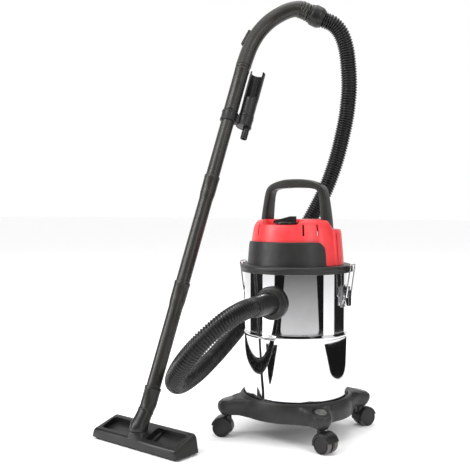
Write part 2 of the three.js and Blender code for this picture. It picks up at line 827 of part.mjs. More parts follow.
// The two-in-one tool: a flat-ended spigot below the clip, and above it an open-sided upholstery mouth.
function makeTool() {
  const shell = turned([
    [15, CLIP_LOW + 3],
    [15, CLIP_LOW + 0.5],
    [TOOL_STEM_R, CLIP_LOW + 0.5],
    [TOOL_STEM_R, CLIP_TOP + GAP],
    [TOOL_BODY_R, CLIP_TOP + GAP],
    [TOOL_BODY_R, TOOL_TOP],
    [TOOL_BODY_R - 3, TOOL_TOP],
    [TOOL_BODY_R - 3, CLIP_TOP + 20],
    [TOOL_STEM_R - 3, CLIP_TOP + 4],
    [TOOL_STEM_R - 3, CLIP_LOW + 3],
  ]);
  const spigotX = 9.5;
  const floor = rod(TOOL_STEM_R - 0.5, CLIP_LOW + 0.5, CLIP_LOW + 3);
  const spigot = rod(9.5, CLIP_LOW - 33, CLIP_LOW + 2, 16).translate(spigotX, 0, 0);
  const bore = rod(7, CLIP_LOW - 40, CLIP_LOW + 10, 16).translate(spigotX, 0, 0);
  const mouth = block(-30, 9, -30, -5, TOOL_TOP - 84, TOOL_TOP + 10);
  const slant = block(-60, 60, -40, 40, 0, 60);
  slant.rotateY(THREE.MathUtils.degToRad(-22)).translate(6, 0, TOOL_TOP - 1);
  const tool = cut(join(shell, floor, spigot), bore, mouth, slant);
  place("two_in_one_tool", tool.translate(TOOL_OFFSET, 0, 0).rotateZ(TOOL_TURN), "black", wand);
}

// The suction slider: a thumb plate on the outside of the grip's bend, sliding along it.
const SLIDER_AT = 0.42; // how far along the grip it sits

function makeSlider() {
  const curve = gripCurve();
  const along = curve.getTangentAt(SLIDER_AT);
  const turning = curve.getTangentAt(SLIDER_AT + 0.1).sub(curve.getTangentAt(SLIDER_AT - 0.1));
  const across = new THREE.Vector3().crossVectors(turning.negate(), along).normalize();
  const outward = new THREE.Vector3().crossVectors(along, across);
  const plate = block(-9, 9, 16, 25.5, -15, 15);
  const bumps = [-6, 4].map((z) => block(-6, 6, 25, 28, z, z + 5));
  const slider = cut(join(plate, ...bumps), rod(GRIP_R + GAP + 0.2, -30, 30, 32));
  const frame = new THREE.Matrix4().makeBasis(across, outward, along);
  frame.setPosition(curve.getPointAt(SLIDER_AT));
  place("suction_slider", slider.applyMatrix4(frame), "black");
}

// ---- floor nozzle ----

const NECK_Y = -17; // the neck stands towards the nozzle's front edge
const COLLAR_TOP = 44;

const nozzle = new THREE.Group();
nozzle.position.set(-269, -311, 0);
nozzle.rotation.z = -WAND_YAW;

function makeNozzleBody() {
  const side = new THREE.Shape();
  const half = NOZZLE_DEPTH / 2;
  side.moveTo(-half, 5);
  side.lineTo(half, 5);
  side.lineTo(half, 16);
  side.lineTo(half - 14, NOZZLE_HEIGHT);
  side.lineTo(-half + 16, NOZZLE_HEIGHT);
  side.lineTo(-half, 18);
  const body = raised(side, -NOZZLE_LENGTH / 2, NOZZLE_LENGTH / 2);
  body.rotateX(Math.PI / 2).rotateZ(Math.PI / 2);
  const ends = [1, -1].map((way) => {
    const bevel = block(0, 40, -60, 60, -60, 60).rotateY(-0.5).translate(NOZZLE_LENGTH / 2 - 8, 0, 30);
    return way > 0 ? bevel : bevel.rotateZ(Math.PI);
  });
  const recesses = [1, -1].map((way) => {
    const low = way > 0 ? 34 : -126;
    return block(low, low + 92, -18, 20, NOZZLE_HEIGHT - 9, NOZZLE_HEIGHT + 10);
  });
  const mouth = block(-134, 134, -26, 26, 0, 16);
  const throat = rod(15, 10, 60, 24).translate(0, NECK_Y, 0);
  const grooves = [-34, 31].map((y) => block(-142, 142, y - GAP, y + 3 + GAP, 0, 13));
  const collar = rod(22, 20, COLLAR_TOP).translate(0, NECK_Y, 0);
  const whole = join(body, collar);
  place("nozzle_body", cut(whole, ...ends, ...recesses, mouth, throat, ...grooves), "black", nozzle);
  place("brush_strip", block(-141, 141, -34, -31, 0, 12.6), "bristle", nozzle);
  place("squeegee_strip", block(-141, 141, 31, 34, 0, 12.6), "rubber", nozzle);
}

// The neck: from the nozzle's collar it leans forward, then bends up to the wand's line.
function makeNeck() {
  const foot = nozzle.position;
  const along = new THREE.Vector3(Math.sin(WAND_YAW), Math.cos(WAND_YAW), 0);
  const at = (s, z) => {
    const p = along.clone().multiplyScalar(s).add(foot);
    return [p.x, p.y, z];
  };
  const curve = curveThrough([
    at(NECK_Y, COLLAR_TOP - 2),
    at(NECK_Y + 1, 52),
    at(-7, 66),
    at(4, 82),
    at(12, 94),
    at(18.8, 106.2),
    at(26.5, 124.6),
  ]);
  const outer = toSolid(swept(disc(19), curve, 9, 4));
  const inner = toSolid(swept(disc(15), curve, 9, 4));
  wand.updateMatrix();
  const socket = turned([
    [15, -56],
    [19, -56],
    [SOCKET_R, -50],
    [SOCKET_R, -2],
    [SOCKET_R - 1.2, 0],
    [TUBE_R - 0.6 + GAP, 0],
    [TUBE_R - 0.6 + GAP, -SOCKET_DEPTH - 1],
    [15, -SOCKET_DEPTH - 1],
  ], 16).applyMatrix4(wand.matrix);
  const socketRoom = rod(TUBE_R - 0.6 + GAP, -SOCKET_DEPTH - 1, 30, 16).applyMatrix4(wand.matrix);
  const socketBore = rod(15, -64, 10, 14).applyMatrix4(wand.matrix);
  let neck = outer.subtract(toSolid(socketRoom)).add(toSolid(socket));
  neck = neck.subtract(inner).subtract(toSolid(socketRoom)).subtract(toSolid(socketBore));
  const below = block(-60, 60, -60, 60, 0, COLLAR_TOP + GAP).translate(foot.x, foot.y, 0);
  neck = neck.subtract(toSolid(below));
  place("nozzle_neck", toGeometry(neck), "black");
}

// ---- hose ----

const HOSE_ROUTE = [
  [-16, 215, 1131],
  [8, 227, 1118],
  [27, 239, 1092],
  [38, 250, 1052],
  [42, 258, 1005],
  [43, 264, 945],
  [37, 269, 890],
  [28, 272, 840],
  [10, 272, 765],
  [-8, 270, 705],
  [-32, 263, 640],
  [-66, 250, 568],
  [-105, 228, 490],
  [-147, 195, 410],
  [-182, 142, 328],
  [-206, 71, 258],
  [-211, -4, 217],
  [-211, -84, 184],
  [-208, -168, 159],
  [-191, -263, 155],
  [-151, -346, 186],
  [-101, -384, 238],
  [-54, -377, 292],
  [-21, -341, 331],
  [-5, -298, 350],
  [0, -264, 356],
  [0, -242, 356],
];

function makeHose() {
  const route = curveThrough(HOSE_ROUTE);
  place("hose", swept(disc(HOSE_R), route, 44, 3), "rubber");
  const inletCuff = turned([
    [19.5, 148.5],
    [26.8, 148.5],
    [26.8, 158.5],
    [CUFF_R, 162],
    [CUFF_R, 228],
    [24, 238],
    [24, 242 - GAP],
    [19.5, 242 - GAP],
  ], 24);
  place("hose_inlet_cuff", atInlet(inletCuff), "black");
  const start = new THREE.Vector3(...HOSE_ROUTE[0]);
  const heading = route.getTangent(0);
  const cuff = turned([
    [19.5, GAP],
    [25, GAP],
    [30, 12],
    [30, 36],
    [26, 40],
    [26, 46],
    [19.5, 46],
  ], 24);
  const turn = new THREE.Quaternion();
  turn.setFromUnitVectors(new THREE.Vector3(0, 0, 1), heading.clone().negate());
  cuff.applyQuaternion(turn).translate(start.x, start.y, start.z);
  place("hose_handle_cuff", cuff, "black");
}

makeDrum();
makeBase();
CASTORS.forEach(makeCastor);
makeInlet();
makeLatches();
makeHeadBase();
makeCarryHandle();
makeMotorCover();
makeKnob();
makeMotor();
makeFilter();
makeGland();
vacuum.add(wand);
vacuum.add(nozzle);
makeWandTubes();
makeHandleTube();
makeClip();
makeTool();
makeSlider();
makeNozzleBody();
makeNeck();
makeHose();

vacuum.position.copy(FOOTPRINT_SHIFT);

export default vacuum;
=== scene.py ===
import math

import bpy
import bmesh
from mathutils import Matrix, Vector


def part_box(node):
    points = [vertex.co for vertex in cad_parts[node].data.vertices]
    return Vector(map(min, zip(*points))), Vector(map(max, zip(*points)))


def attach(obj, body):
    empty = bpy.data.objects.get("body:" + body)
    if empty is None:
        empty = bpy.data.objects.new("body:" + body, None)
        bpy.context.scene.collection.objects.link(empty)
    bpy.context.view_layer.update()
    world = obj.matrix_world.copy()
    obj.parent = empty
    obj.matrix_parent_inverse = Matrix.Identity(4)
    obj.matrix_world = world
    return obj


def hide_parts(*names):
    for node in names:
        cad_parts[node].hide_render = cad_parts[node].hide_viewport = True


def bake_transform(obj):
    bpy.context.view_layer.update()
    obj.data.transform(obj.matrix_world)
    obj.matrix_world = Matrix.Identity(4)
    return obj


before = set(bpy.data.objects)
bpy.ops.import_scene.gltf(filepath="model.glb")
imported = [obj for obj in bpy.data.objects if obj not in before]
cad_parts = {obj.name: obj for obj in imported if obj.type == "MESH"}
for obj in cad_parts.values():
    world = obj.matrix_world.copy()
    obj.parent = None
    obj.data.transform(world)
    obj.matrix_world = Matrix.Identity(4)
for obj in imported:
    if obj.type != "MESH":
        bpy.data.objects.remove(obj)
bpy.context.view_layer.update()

# ---- frames and sizes ----

# Shapes are drawn in millimetres about the drum's axis, with the floor at z = 0.
drum_low, drum_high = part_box("drum")
DRUM_REACH = 0.1375  # from the drum's axis to the back of its bead, in metres
AXIS = Vector(((drum_low.x + drum_high.x) / 2, drum_high.y - DRUM_REACH, 0))
TO_ROW = Matrix.Translation(AXIS) @ Matrix.Scale(0.001, 4)

DRUM_R = 135.0
DRUM_WALL = 1.2
DRUM_BOTTOM = 100.0
DRUM_TOP = 434.0
WAIST_Z = 268.0
INLET_Z = 356.0
SKIRT_TOP = 507.0
COVER_FOOT = 447.3
COVER_TOP = 563.0
KNOB_Y = -58.0
KNOB_SEAT = 552.0
KNOB_TOP = 571.5
KNOB_TURN = 20  # degrees the knob is turned past straight ahead
LOBE_REACH = 186.0
LOBE_FALL = 12  # how far a lobe slopes down outwards, in degrees
WHEEL_R = 24.0
CASTOR_TRAIL = 14.0
GRIP_R = 22.0
HOSE_R = 23.5

WAND_FOOT = Vector((-263.4, -277.0, 143.0))
WAND_LEAN = math.radians(23)
WAND_YAW = math.radians(9.3)
WAND = (
    Matrix.Translation(WAND_FOOT) @ Matrix.Rotation(-WAND_YAW, 4, "Z")
    @ Matrix.Rotation(-WAND_LEAN, 4, "X")
)
NOZZLE = Matrix.Translation((-269, -311, 0)) @ Matrix.Rotation(-WAND_YAW, 4, "Z")
FLAT = Matrix.Identity(4)
GLAND_Z = 474


def turn_z(degrees):
    return Matrix.Rotation(math.radians(degrees), 4, "Z")


def tip(axis, degrees):
    return Matrix.Rotation(math.radians(degrees), 4, axis)


def shift(x, y, z):
    return Matrix.Translation((x, y, z))


def up(z):
    return Vector((0, 0, z))


def ray_at(degrees):
    """The level direction this far round from +X."""
    return Vector((math.cos(math.radians(degrees)), math.sin(math.radians(degrees)), 0))


GLAND = shift(0, 0, GLAND_Z) @ tip("X", -90)  # Z outward through the gland, along +Y

# ---- camera ----

CAMERA_TURN = math.radians(30)
AHEAD = Vector((-math.sin(CAMERA_TURN), math.cos(CAMERA_TURN), 0))
SIDE = Vector((math.cos(CAMERA_TURN), math.sin(CAMERA_TURN), 0))
CAMERA_BACK = 2.013
CAMERA_LEFT = 0.161
CAMERA_HEIGHT = 0.598
CAMERA_DOWN = 2.18  # how far it looks down, in degrees
LENS = 58.4


def in_scene(name, data):
    """A new object with this data, linked to the scene."""
    item = bpy.data.objects.new(name, data)
    bpy.context.scene.collection.objects.link(item)
    return item


def make_camera():
    data = bpy.data.cameras.new("camera")
    data.lens = LENS
    data.sensor_width = 36
    data.clip_end = 60
    camera = in_scene("camera", data)
    camera.location = AXIS - AHEAD * CAMERA_BACK - SIDE * CAMERA_LEFT + up(CAMERA_HEIGHT)
    camera.rotation_euler = (math.radians(90 - CAMERA_DOWN), 0, CAMERA_TURN)
    bpy.context.scene.camera = camera


make_camera()

# ---- materials ----


def input_of(node, name, value):
    node.inputs[name].default_value = value


def finish(name, slot, dark, light, metallic, rough, spread, grain, bump, shine=0.5):
    """A surface whose colour and roughness vary a little, with a fine grain raised on it, and the
    slot it goes in. rough is the mean roughness and spread how far it strays. grain is the noise
    scale per metre. shine is how much of a plain plastic's reflection it has."""
    material = bpy.data.materials.new(name)
    material.use_nodes = True
    tree = material.node_tree
    nodes = tree.nodes
    links = tree.links
    shader = nodes["Principled BSDF"]
    input_of(shader, "Metallic", metallic)
    input_of(shader, "Specular IOR Level", shine)
    place = nodes.new("ShaderNodeTexCoord")
    cloud = nodes.new("ShaderNodeTexNoise")
    input_of(cloud, "Scale", 14.0)
    input_of(cloud, "Detail", 4.0)
    ramp = nodes.new("ShaderNodeValToRGB")
    ramp.color_ramp.elements[0].position = 0.32
    ramp.color_ramp.elements[1].position = 0.68
    ramp.color_ramp.elements[0].color = (*dark, 1)
    ramp.color_ramp.elements[1].color = (*light, 1)
    wear = nodes.new("ShaderNodeTexNoise")
    input_of(wear, "Scale", 45.0)
    input_of(wear, "Detail", 6.0)
    spread_map = nodes.new("ShaderNodeMapRange")
    input_of(spread_map, "From Min", 0.3)
    input_of(spread_map, "From Max", 0.7)
    input_of(spread_map, "To Min", max(rough - spread, 0.02))
    input_of(spread_map, "To Max", rough + spread)
    fine = nodes.new("ShaderNodeTexNoise")
    input_of(fine, "Scale", grain)
    input_of(fine, "Detail", 3.0)
    raise_up = nodes.new("ShaderNodeBump")
    input_of(raise_up, "Strength", bump)
    input_of(raise_up, "Distance", 0.0004)
    for noise in (cloud, wear, fine):
        links.new(place.outputs["Object"], noise.inputs["Vector"])
    links.new(cloud.outputs["Fac"], ramp.inputs["Fac"])
    links.new(ramp.outputs["Color"], shader.inputs["Base Color"])
    links.new(wear.outputs["Fac"], spread_map.inputs["Value"])
    links.new(spread_map.outputs["Result"], shader.inputs["Roughness"])
    links.new(fine.outputs["Fac"], raise_up.inputs["Height"])
    links.new(raise_up.outputs["Normal"], shader.inputs["Normal"])
    return material, slot


MIRROR = finish(
    "polished_steel", "steel", (0.66, 0.66, 0.67), (0.72, 0.72, 0.73), 1, 0.045, 0.02, 900, 0.004,
)
CHROME = finish("chrome_plate", "chrome", (0.6, 0.6, 0.61), (0.7, 0.7, 0.71), 1, 0.1, 0.05, 1100, 0.02)
MATTE_BLACK = finish(
    "moulded_black", "black_plastic", (0.013, 0.013, 0.0125), (0.02, 0.02, 0.019), 0, 0.42, 0.07,
    1700, 0.12, 0.34,
)
SOFT_BLACK = finish(
    "smooth_black", "black_plastic", (0.009, 0.009, 0.0085), (0.015, 0.015, 0.014), 0, 0.34, 0.06,
    1500, 0.06, 0.32,
)
CAP_GREY = finish(
    "cap_grey", "black_plastic", (0.075, 0.073, 0.07), (0.1, 0.098, 0.094), 0, 0.28, 0.05, 1300, 0.03,
)
TUBE_GREY = finish(
    "tube_plastic", "tube_plastic", (0.016, 0.0155, 0.0135), (0.022, 0.021, 0.0185), 0, 0.3, 0.06,
    1600, 0.06, 0.4,
)
RED = finish(
    "red_plastic", "red_plastic", (0.56, 0.02, 0.025), (0.64, 0.028, 0.033), 0, 0.4, 0.06, 1500, 0.08,
)
HOSE_BLACK = finish(
    "hose_plastic", "hose_plastic", (0.005, 0.005, 0.005), (0.009, 0.009, 0.009), 0, 0.27, 0.05, 1200,
    0.03, 0.34,
)
TREAD = finish(
    "tread", "wheel_plastic", (0.07, 0.065, 0.058), (0.095, 0.088, 0.08), 0, 0.6, 0.1, 1400, 0.15,
)
RUBBER = finish(
    "rubber", "soft_rubber", (0.012, 0.012, 0.012), (0.02, 0.02, 0.02), 0, 0.75, 0.1, 1500, 0.2,
)
FOAM = finish("foam", "filter_foam", (0.045, 0.05, 0.056), (0.09, 0.095, 0.1), 0, 0.95, 0.04, 700, 0.9)
BRISTLE = finish(
    "bristle", "bristle", (0.012, 0.011, 0.01), (0.04, 0.036, 0.032), 0, 0.85, 0.1, 2400, 0.9,
)
MOTOR_GREY = finish(
    "motor_metal", "motor_metal", (0.32, 0.33, 0.34), (0.45, 0.46, 0.47), 1, 0.38, 0.1, 1300, 0.1,
)
WHEEL_BLACK = (SOFT_BLACK[0], "wheel_plastic")
GLAND_BLACK = (RUBBER[0], "black_plastic")

# ---- shapes ----


class Shape:
    """A closed mesh in the making, its points in millimetres."""

    def __init__(self, points=(), faces=()):
        self.points = [Vector(p) for p in points]
        self.faces = [tuple(f) for f in faces]

    def add(self, *others):
        for other in others:
            start = len(self.points)
            self.points += other.points
            self.faces += [tuple(i + start for i in f) for f in other.faces]
        return self

    def moved(self, matrix):
        return Shape([matrix @ p for p in self.points], self.faces)

    def laid(self):
        """Tipped so that what stood along Z lies along -Y."""
        return self.moved(tip("X", 90))

    def bent(self, rule):
        return Shape([rule(p) for p in self.points], self.faces)


def rounded(corners, steps=5):
    """The closed outline through these (a, b, radius) corners, each rounded by its radius."""
    points = []
    count = len(corners)
    for i, (a, b, radius) in enumerate(corners):
        here = Vector((a, b))
        if radius <= 0:
            points.append(here)
            continue
        back = Vector(corners[i - 1][:2]) - here
        on = Vector(corners[(i + 1) % count][:2]) - here
        cut = min(radius, back.length * 0.49, on.length * 0.49)
        start = here + back.normalized() * cut
        end = here + on.normalized() * cut
        for k in range(steps + 1):
            t = k / steps
            points.append(start * (1 - t) ** 2 + here * 2 * t * (1 - t) + end * t * t)
    return points


def between(start, end, steps):
    """Points from start to end, both given."""
    a = Vector(start)
    b = Vector(end)
    return [a.lerp(b, k / steps) for k in range(steps + 1)]


def rings(loops, closed_loops=True):
    """A closed skin over rings of points, each ring as long as the first."""
    points = [p for loop in loops for p in loop]
    n = len(loops[0])
    count = len(loops)
    faces = []
    for i in range(count if closed_loops else count - 1):
        j = (i + 1) % count
        for k in range(n):
            m = (k + 1) % n
            faces.append((i * n + k, i * n + m, j * n + m, j * n + k))
    if not closed_loops:
        faces.append(tuple(range(n)))
        faces.append(tuple((count - 1) * n + k for k in range(n)))
    return Shape(points, faces)


def lathe(outline, segments=96):
    """A closed outline of (radius, height) turned about Z."""
    loops = []
    for i in range(segments):
        angle = 2 * math.pi * i / segments
        loops.append([Vector((p[0] * math.cos(angle), p[0] * math.sin(angle), p[1])) for p in outline])
    return rings(loops)


def turned(corners, segments=96, steps=4):
    """A closed outline of (radius, height, rounding) corners turned about Z."""
    return lathe(rounded(corners, steps), segments)


def prism(outline, low, high):
    """A flat outline of (x, y) raised from low to high along Z."""
    return rings([[Vector((p[0], p[1], z)) for p in outline] for z in (low, high)], closed_loops=False)


def side_view(points, half):
    """An outline of (out from the axis, height) given a width along Y."""
    return prism(points, -half, half).laid()


def box(x0, x1, y0, y1, z0, z1):
    return prism([(x0, y0), (x1, y0), (x1, y1), (x0, y1)], z0, z1)


def circle_section(radius, segments=32):
    turns = [2 * math.pi * i / segments for i in range(segments)]
    return [Vector((radius * math.cos(a), radius * math.sin(a))) for a in turns]


def rod(radius, low, high, segments=64):
    return prism(circle_section(radius, segments), low, high)


def through(points, steps):
    """Points along the smooth curve through these, with the ends carried straight on."""
    p = [Vector(q) for q in points]
    p = [p[0] * 2 - p[1], *p, p[-1] * 2 - p[-2]]
    line = []
    for i in range(1, len(p) - 2):
        for k in range(steps):
            t = k / steps
            a = p[i] * 2
            b = (p[i + 1] - p[i - 1]) * t
            c = (p[i - 1] * 2 - p[i] * 5 + p[i + 1] * 4 - p[i + 2]) * t * t
            d = (p[i] * 3 - p[i - 1] - p[i + 1] * 3 + p[i + 2]) * t**3
            line.append((a + b + c + d) * 0.5)
    line.append(p[-2])
    return line


def length_of(line):
    return sum((b - a).length for a, b in zip(line, line[1:]))


def evenly(line, count):
    """count + 1 points at equal distances along a line of points."""
    total = length_of(line)
    found = [line[0].copy()]
    done = 0.0
    target = total / count
    for a, b in zip(line, line[1:]):
        step = (b - a).length
        while done + step >= target - 1e-9 and len(found) < count:
            found.append(a.lerp(b, (target - done) / step))
            target += total / count
        done += step
    found.append(line[-1].copy())
    return found


def frames_along(line, upward=Vector((0, 0, 1))):
    """(along, sideways, outward) at each point of a line, turning as little as it can."""
    result = []
    tangents = []
    for i in range(len(line)):
        before = line[max(i - 1, 0)]
        after = line[min(i + 1, len(line) - 1)]
        tangents.append((after - before).normalized())
    side = tangents[0].cross(upward)
    if side.length < 0.1:
        side = tangents[0].cross(Vector((1, 0, 0)))
    side.normalize()
    for i, along in enumerate(tangents):
        if i:
            side = tangents[i - 1].rotation_difference(along) @ side
            side = (side - along * side.dot(along)).normalized()
        result.append((along, side, along.cross(side).normalized()))
    return result


def tube(line, section, upward=Vector((0, 0, 1))):
    """A skin along a line. section(i) gives the ring's (sideways, outward) points at point i."""
    loops = []
    for i, (spot, (along, side, out)) in enumerate(zip(line, frames_along(line, upward))):
        loops.append([spot + side * q[0] + out * q[1] for q in section(i)])
    return rings(loops, closed_loops=False)


def arc(radius, start, end, steps, centre=(0, 0)):
    turns = [math.radians(start + (end - start) * k / steps) for k in range(steps + 1)]
    return [
        Vector((centre[0] + radius * math.cos(a), centre[1] + radius * math.sin(a))) for a in turns
    ]


def smooth_step(low, high, value):
    t = min(max((value - low) / (high - low), 0), 1)
    return t * t * (3 - 2 * t)


# ---- meshes and pieces ----


def mesh_from(name, shape):
    mesh = bpy.data.meshes.new(name)
    mesh.from_pydata([tuple(p) for p in shape.points], [], shape.faces)
    work = bmesh.new()
    work.from_mesh(mesh)
    bmesh.ops.remove_doubles(work, verts=work.verts, dist=0.002)
    bmesh.ops.dissolve_degenerate(work, edges=work.edges, dist=0.001)
    bmesh.ops.recalc_face_normals(work, faces=work.faces)
    work.to_mesh(mesh)
    work.free()
    return mesh


def carve(shape, cuts=(), joins=(), within=()):
    """shape with joins added to it, cuts taken out of it, and only what is within the rest kept."""
    body = in_scene("carving", mesh_from("carving", shape))
    helpers = []
    for operation, others in (("UNION", joins), ("DIFFERENCE", cuts), ("INTERSECT", within)):
        for other in others:
            tool = in_scene("cutter", mesh_from("cutter", other))
            helpers.append(tool)
            modifier = body.modifiers.new("carve", "BOOLEAN")
            modifier.operation = operation
            modifier.solver = "EXACT"
            modifier.object = tool
    bpy.context.view_layer.update()
    graph = bpy.context.evaluated_depsgraph_get()
    result = bpy.data.meshes.new_from_object(body.evaluated_get(graph))
    carved = Shape([v.co for v in result.vertices], [tuple(p.vertices) for p in result.polygons])
    for item in (body, *helpers):
        data = item.data
        bpy.data.objects.remove(item)
        bpy.data.meshes.remove(data)
    bpy.data.meshes.remove(result)
    return carved


def piece(name, shape, body, surface, nodes=(), bevel=0.0, sharp=35, segments=2):
    """Puts a shape in the row frame as a piece of the object that rides on a body."""
    material, slot = surface
    mesh = mesh_from(name, shape)
    mesh.transform(TO_ROW)
    mesh.materials.append(material)
    mesh.shade_smooth()
    mesh.set_sharp_from_angle(angle=math.radians(sharp))
    item = in_scene(name, mesh)
    if bevel:
        edge = item.modifiers.new("edges", "BEVEL")
        edge.width = bevel / 1000
        edge.segments = segments
        edge.limit_method = "ANGLE"
        edge.angle_limit = math.radians(35)
        edge.harden_normals = True
    if body:
        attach(item, body)
    if nodes:
        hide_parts(*nodes)
    return item


def keep(surface, *nodes):
    """Shows CAD nodes as they are, in a new material."""
    material, slot = surface
    for node in nodes:
        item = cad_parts[node]
        item.data.materials.clear()
        item.data.materials.append(material)


# ---- hose ----

HOSE_ROUTE = [
    (-0.016, 0.215, 1.131), (0.008, 0.227, 1.118), (0.027, 0.239, 1.092), (0.038, 0.250, 1.052),
    (0.042, 0.258, 1.005), (0.043, 0.264, 0.945), (0.037, 0.269, 0.890), (0.028, 0.272, 0.840),
    (0.010, 0.272, 0.765), (-0.008, 0.270, 0.705), (-0.032, 0.263, 0.640), (-0.066, 0.250, 0.568),
    (-0.105, 0.228, 0.490), (-0.147, 0.195, 0.410), (-0.182, 0.142, 0.328), (-0.206, 0.071, 0.258),
    (-0.211, -0.004, 0.217), (-0.211, -0.084, 0.184), (-0.208, -0.168, 0.159),
    (-0.191, -0.263, 0.155), (-0.151, -0.346, 0.186), (-0.101, -0.384, 0.238),
    (-0.054, -0.377, 0.292), (-0.021, -0.341, 0.331), (-0.005, -0.298, 0.350), (0.000, -0.264, 0.356),
    (0.000, -0.242, 0.356),
]
RIB_PITCH = 7.2
RIB_DEPTH = 3.4


def make_hose():
    route = through([Vector(p) * 1000 for p in HOSE_ROUTE], 24)
    ribs = round(length_of(route) / RIB_PITCH)
    # Where each rib's rings stand along it, and how deep they lie below the crest.
    profile = [(0.0, 1.0), (0.16, 0.9), (0.34, 0.25), (0.5, 0.0), (0.68, 0.0), (0.86, 0.4)]
    stations = evenly(route, ribs * 50)
    line = []
    depth = []
    for rib in range(ribs):
        for where, low in profile:
            line.append(stations[rib * 50 + round(where * 50)])
            depth.append(low)
    line.append(stations[-1])
    depth.append(1.0)
    shape = tube(line, lambda i: circle_section(HOSE_R - RIB_DEPTH * depth[i], 32))
    hose = piece("corrugated_hose", shape, None, HOSE_BLACK, ["hose"], sharp=80)
    end = TO_ROW @ route[-1]
    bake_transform(hose)
    return hose, [TO_ROW @ p for p in evenly(route, 400)], end, length_of(route) / 1000


hose, hose_line, hose_exit, hose_length = make_hose()


def along_axis(spot, direction):
    """The frame whose Z axis runs along a direction from a spot."""
    turn = up(1).rotation_difference(Vector(direction))
    return Matrix.Translation(spot) @ turn.to_matrix().to_4x4()


INLET = shift(0, 0, INLET_Z) @ tip("X", 90)  # Z outward through the inlet, along -Y


def bored(corners, bore):
    """A turned ring with a straight bore inside these rounded outer corners."""
    low = corners[0][1]
    high = corners[-1][1]
    return turned([*corners, (bore, high, 0.8), (bore, low, 0.8)])


cuff = bored([
    (26.8, 148.5, 0.6), (26.8, 158.5, 1.2), (25.4, 160.5, 1.0), (25.6, 190, 0), (25.6, 229, 3),
    (24.9, 231.5, 1), (24.9, 236, 1.5), (24.0, 238.5, 0.8), (24.0, 241.65, 0.8),
], 19.5).moved(INLET)
inlet_cuff = piece("hose_cuff_at_drum", cuff, "inlet_cuff", SOFT_BLACK, ["hose_inlet_cuff"])

CUFF_AXIS = Vector((-0.80521, -0.4025, 0.43547))
cuff = bored([
    (24.6, 0.35, 0.8), (25.2, 4, 1.5), (29.0, 9.5, 4), (30.2, 15, 4), (30.2, 33, 2.5),
    (29.0, 36.5, 1.2), (26.6, 38, 1.2), (26.6, 42, 1), (26.0, 46, 1.2),
], 19.5).moved(along_axis(Vector(HOSE_ROUTE[0]) * 1000, CUFF_AXIS))
handle_cuff = piece("hose_cuff_at_handle", cuff, "handle_cuff", SOFT_BLACK, ["hose_handle_cuff"])

# ---- drum ----


def drum_outline():
    inside = DRUM_R - DRUM_WALL
    floor = DRUM_BOTTOM + DRUM_WALL
    outline = [Vector((0, DRUM_BOTTOM)), Vector((124, DRUM_BOTTOM))]
    outline += arc(9, -90, -10, 6, (126, DRUM_BOTTOM + 9))
    outline += [Vector((DRUM_R, 110.8)), Vector((DRUM_R, 111.3))]
    outline += between((DRUM_R, 112), (DRUM_R, WAIST_Z - 7.5), 6)
    for k in range(17):
        t = k / 16
        swell = 2.1 * (0.5 - 0.5 * math.cos(2 * math.pi * t))
        outline.append(Vector((DRUM_R + swell, WAIST_Z - 7 + 14 * t)))
    outline += between((DRUM_R, WAIST_Z + 7.5), (DRUM_R, INLET_Z - 36), 3)
    outline += between((DRUM_R, INLET_Z - 34), (DRUM_R, INLET_Z + 34), 24)
    outline += [Vector((DRUM_R, z)) for z in (DRUM_TOP - 8.4, DRUM_TOP - 8, DRUM_TOP - 7.8)]
    outline += arc(3, -60, 90, 6, (DRUM_R - 0.5, DRUM_TOP - 3))
    outline += [
        Vector((inside, DRUM_TOP)), Vector((inside, DRUM_BOTTOM + 9.5)), Vector((131.7, floor + 3)),
        Vector((125.5, floor)), Vector((0, floor)),
    ]
    return outline


drum = carve(lathe(drum_outline(), 216), [rod(25, 100, 170, 72).moved(INLET)])
piece("steel_drum", drum, "drum_and_base", MIRROR, ["drum"], sharp=50)

# ---- base with four castor lobes ----


def quarter_outline():
    """A quarter of the base's outline: a stretch of the dish and one lobe, along +X."""
    corners = [(*p, 0) for p in arc(152, -44, -24, 5)]
    corners += [(146.5, -44.5, 26), (174, -29.5, 12)]
    corners += [(*p, 0) for p in arc(27, -82, 82, 14, (LOBE_REACH, 0))]
    corners += [(174, 29.5, 12), (146.5, 44.5, 26)]
    corners += [(*p, 0) for p in arc(152, 24, 44, 5)]
    return rounded(corners, 6)


LOBE_TAN = math.tan(math.radians(LOBE_FALL))


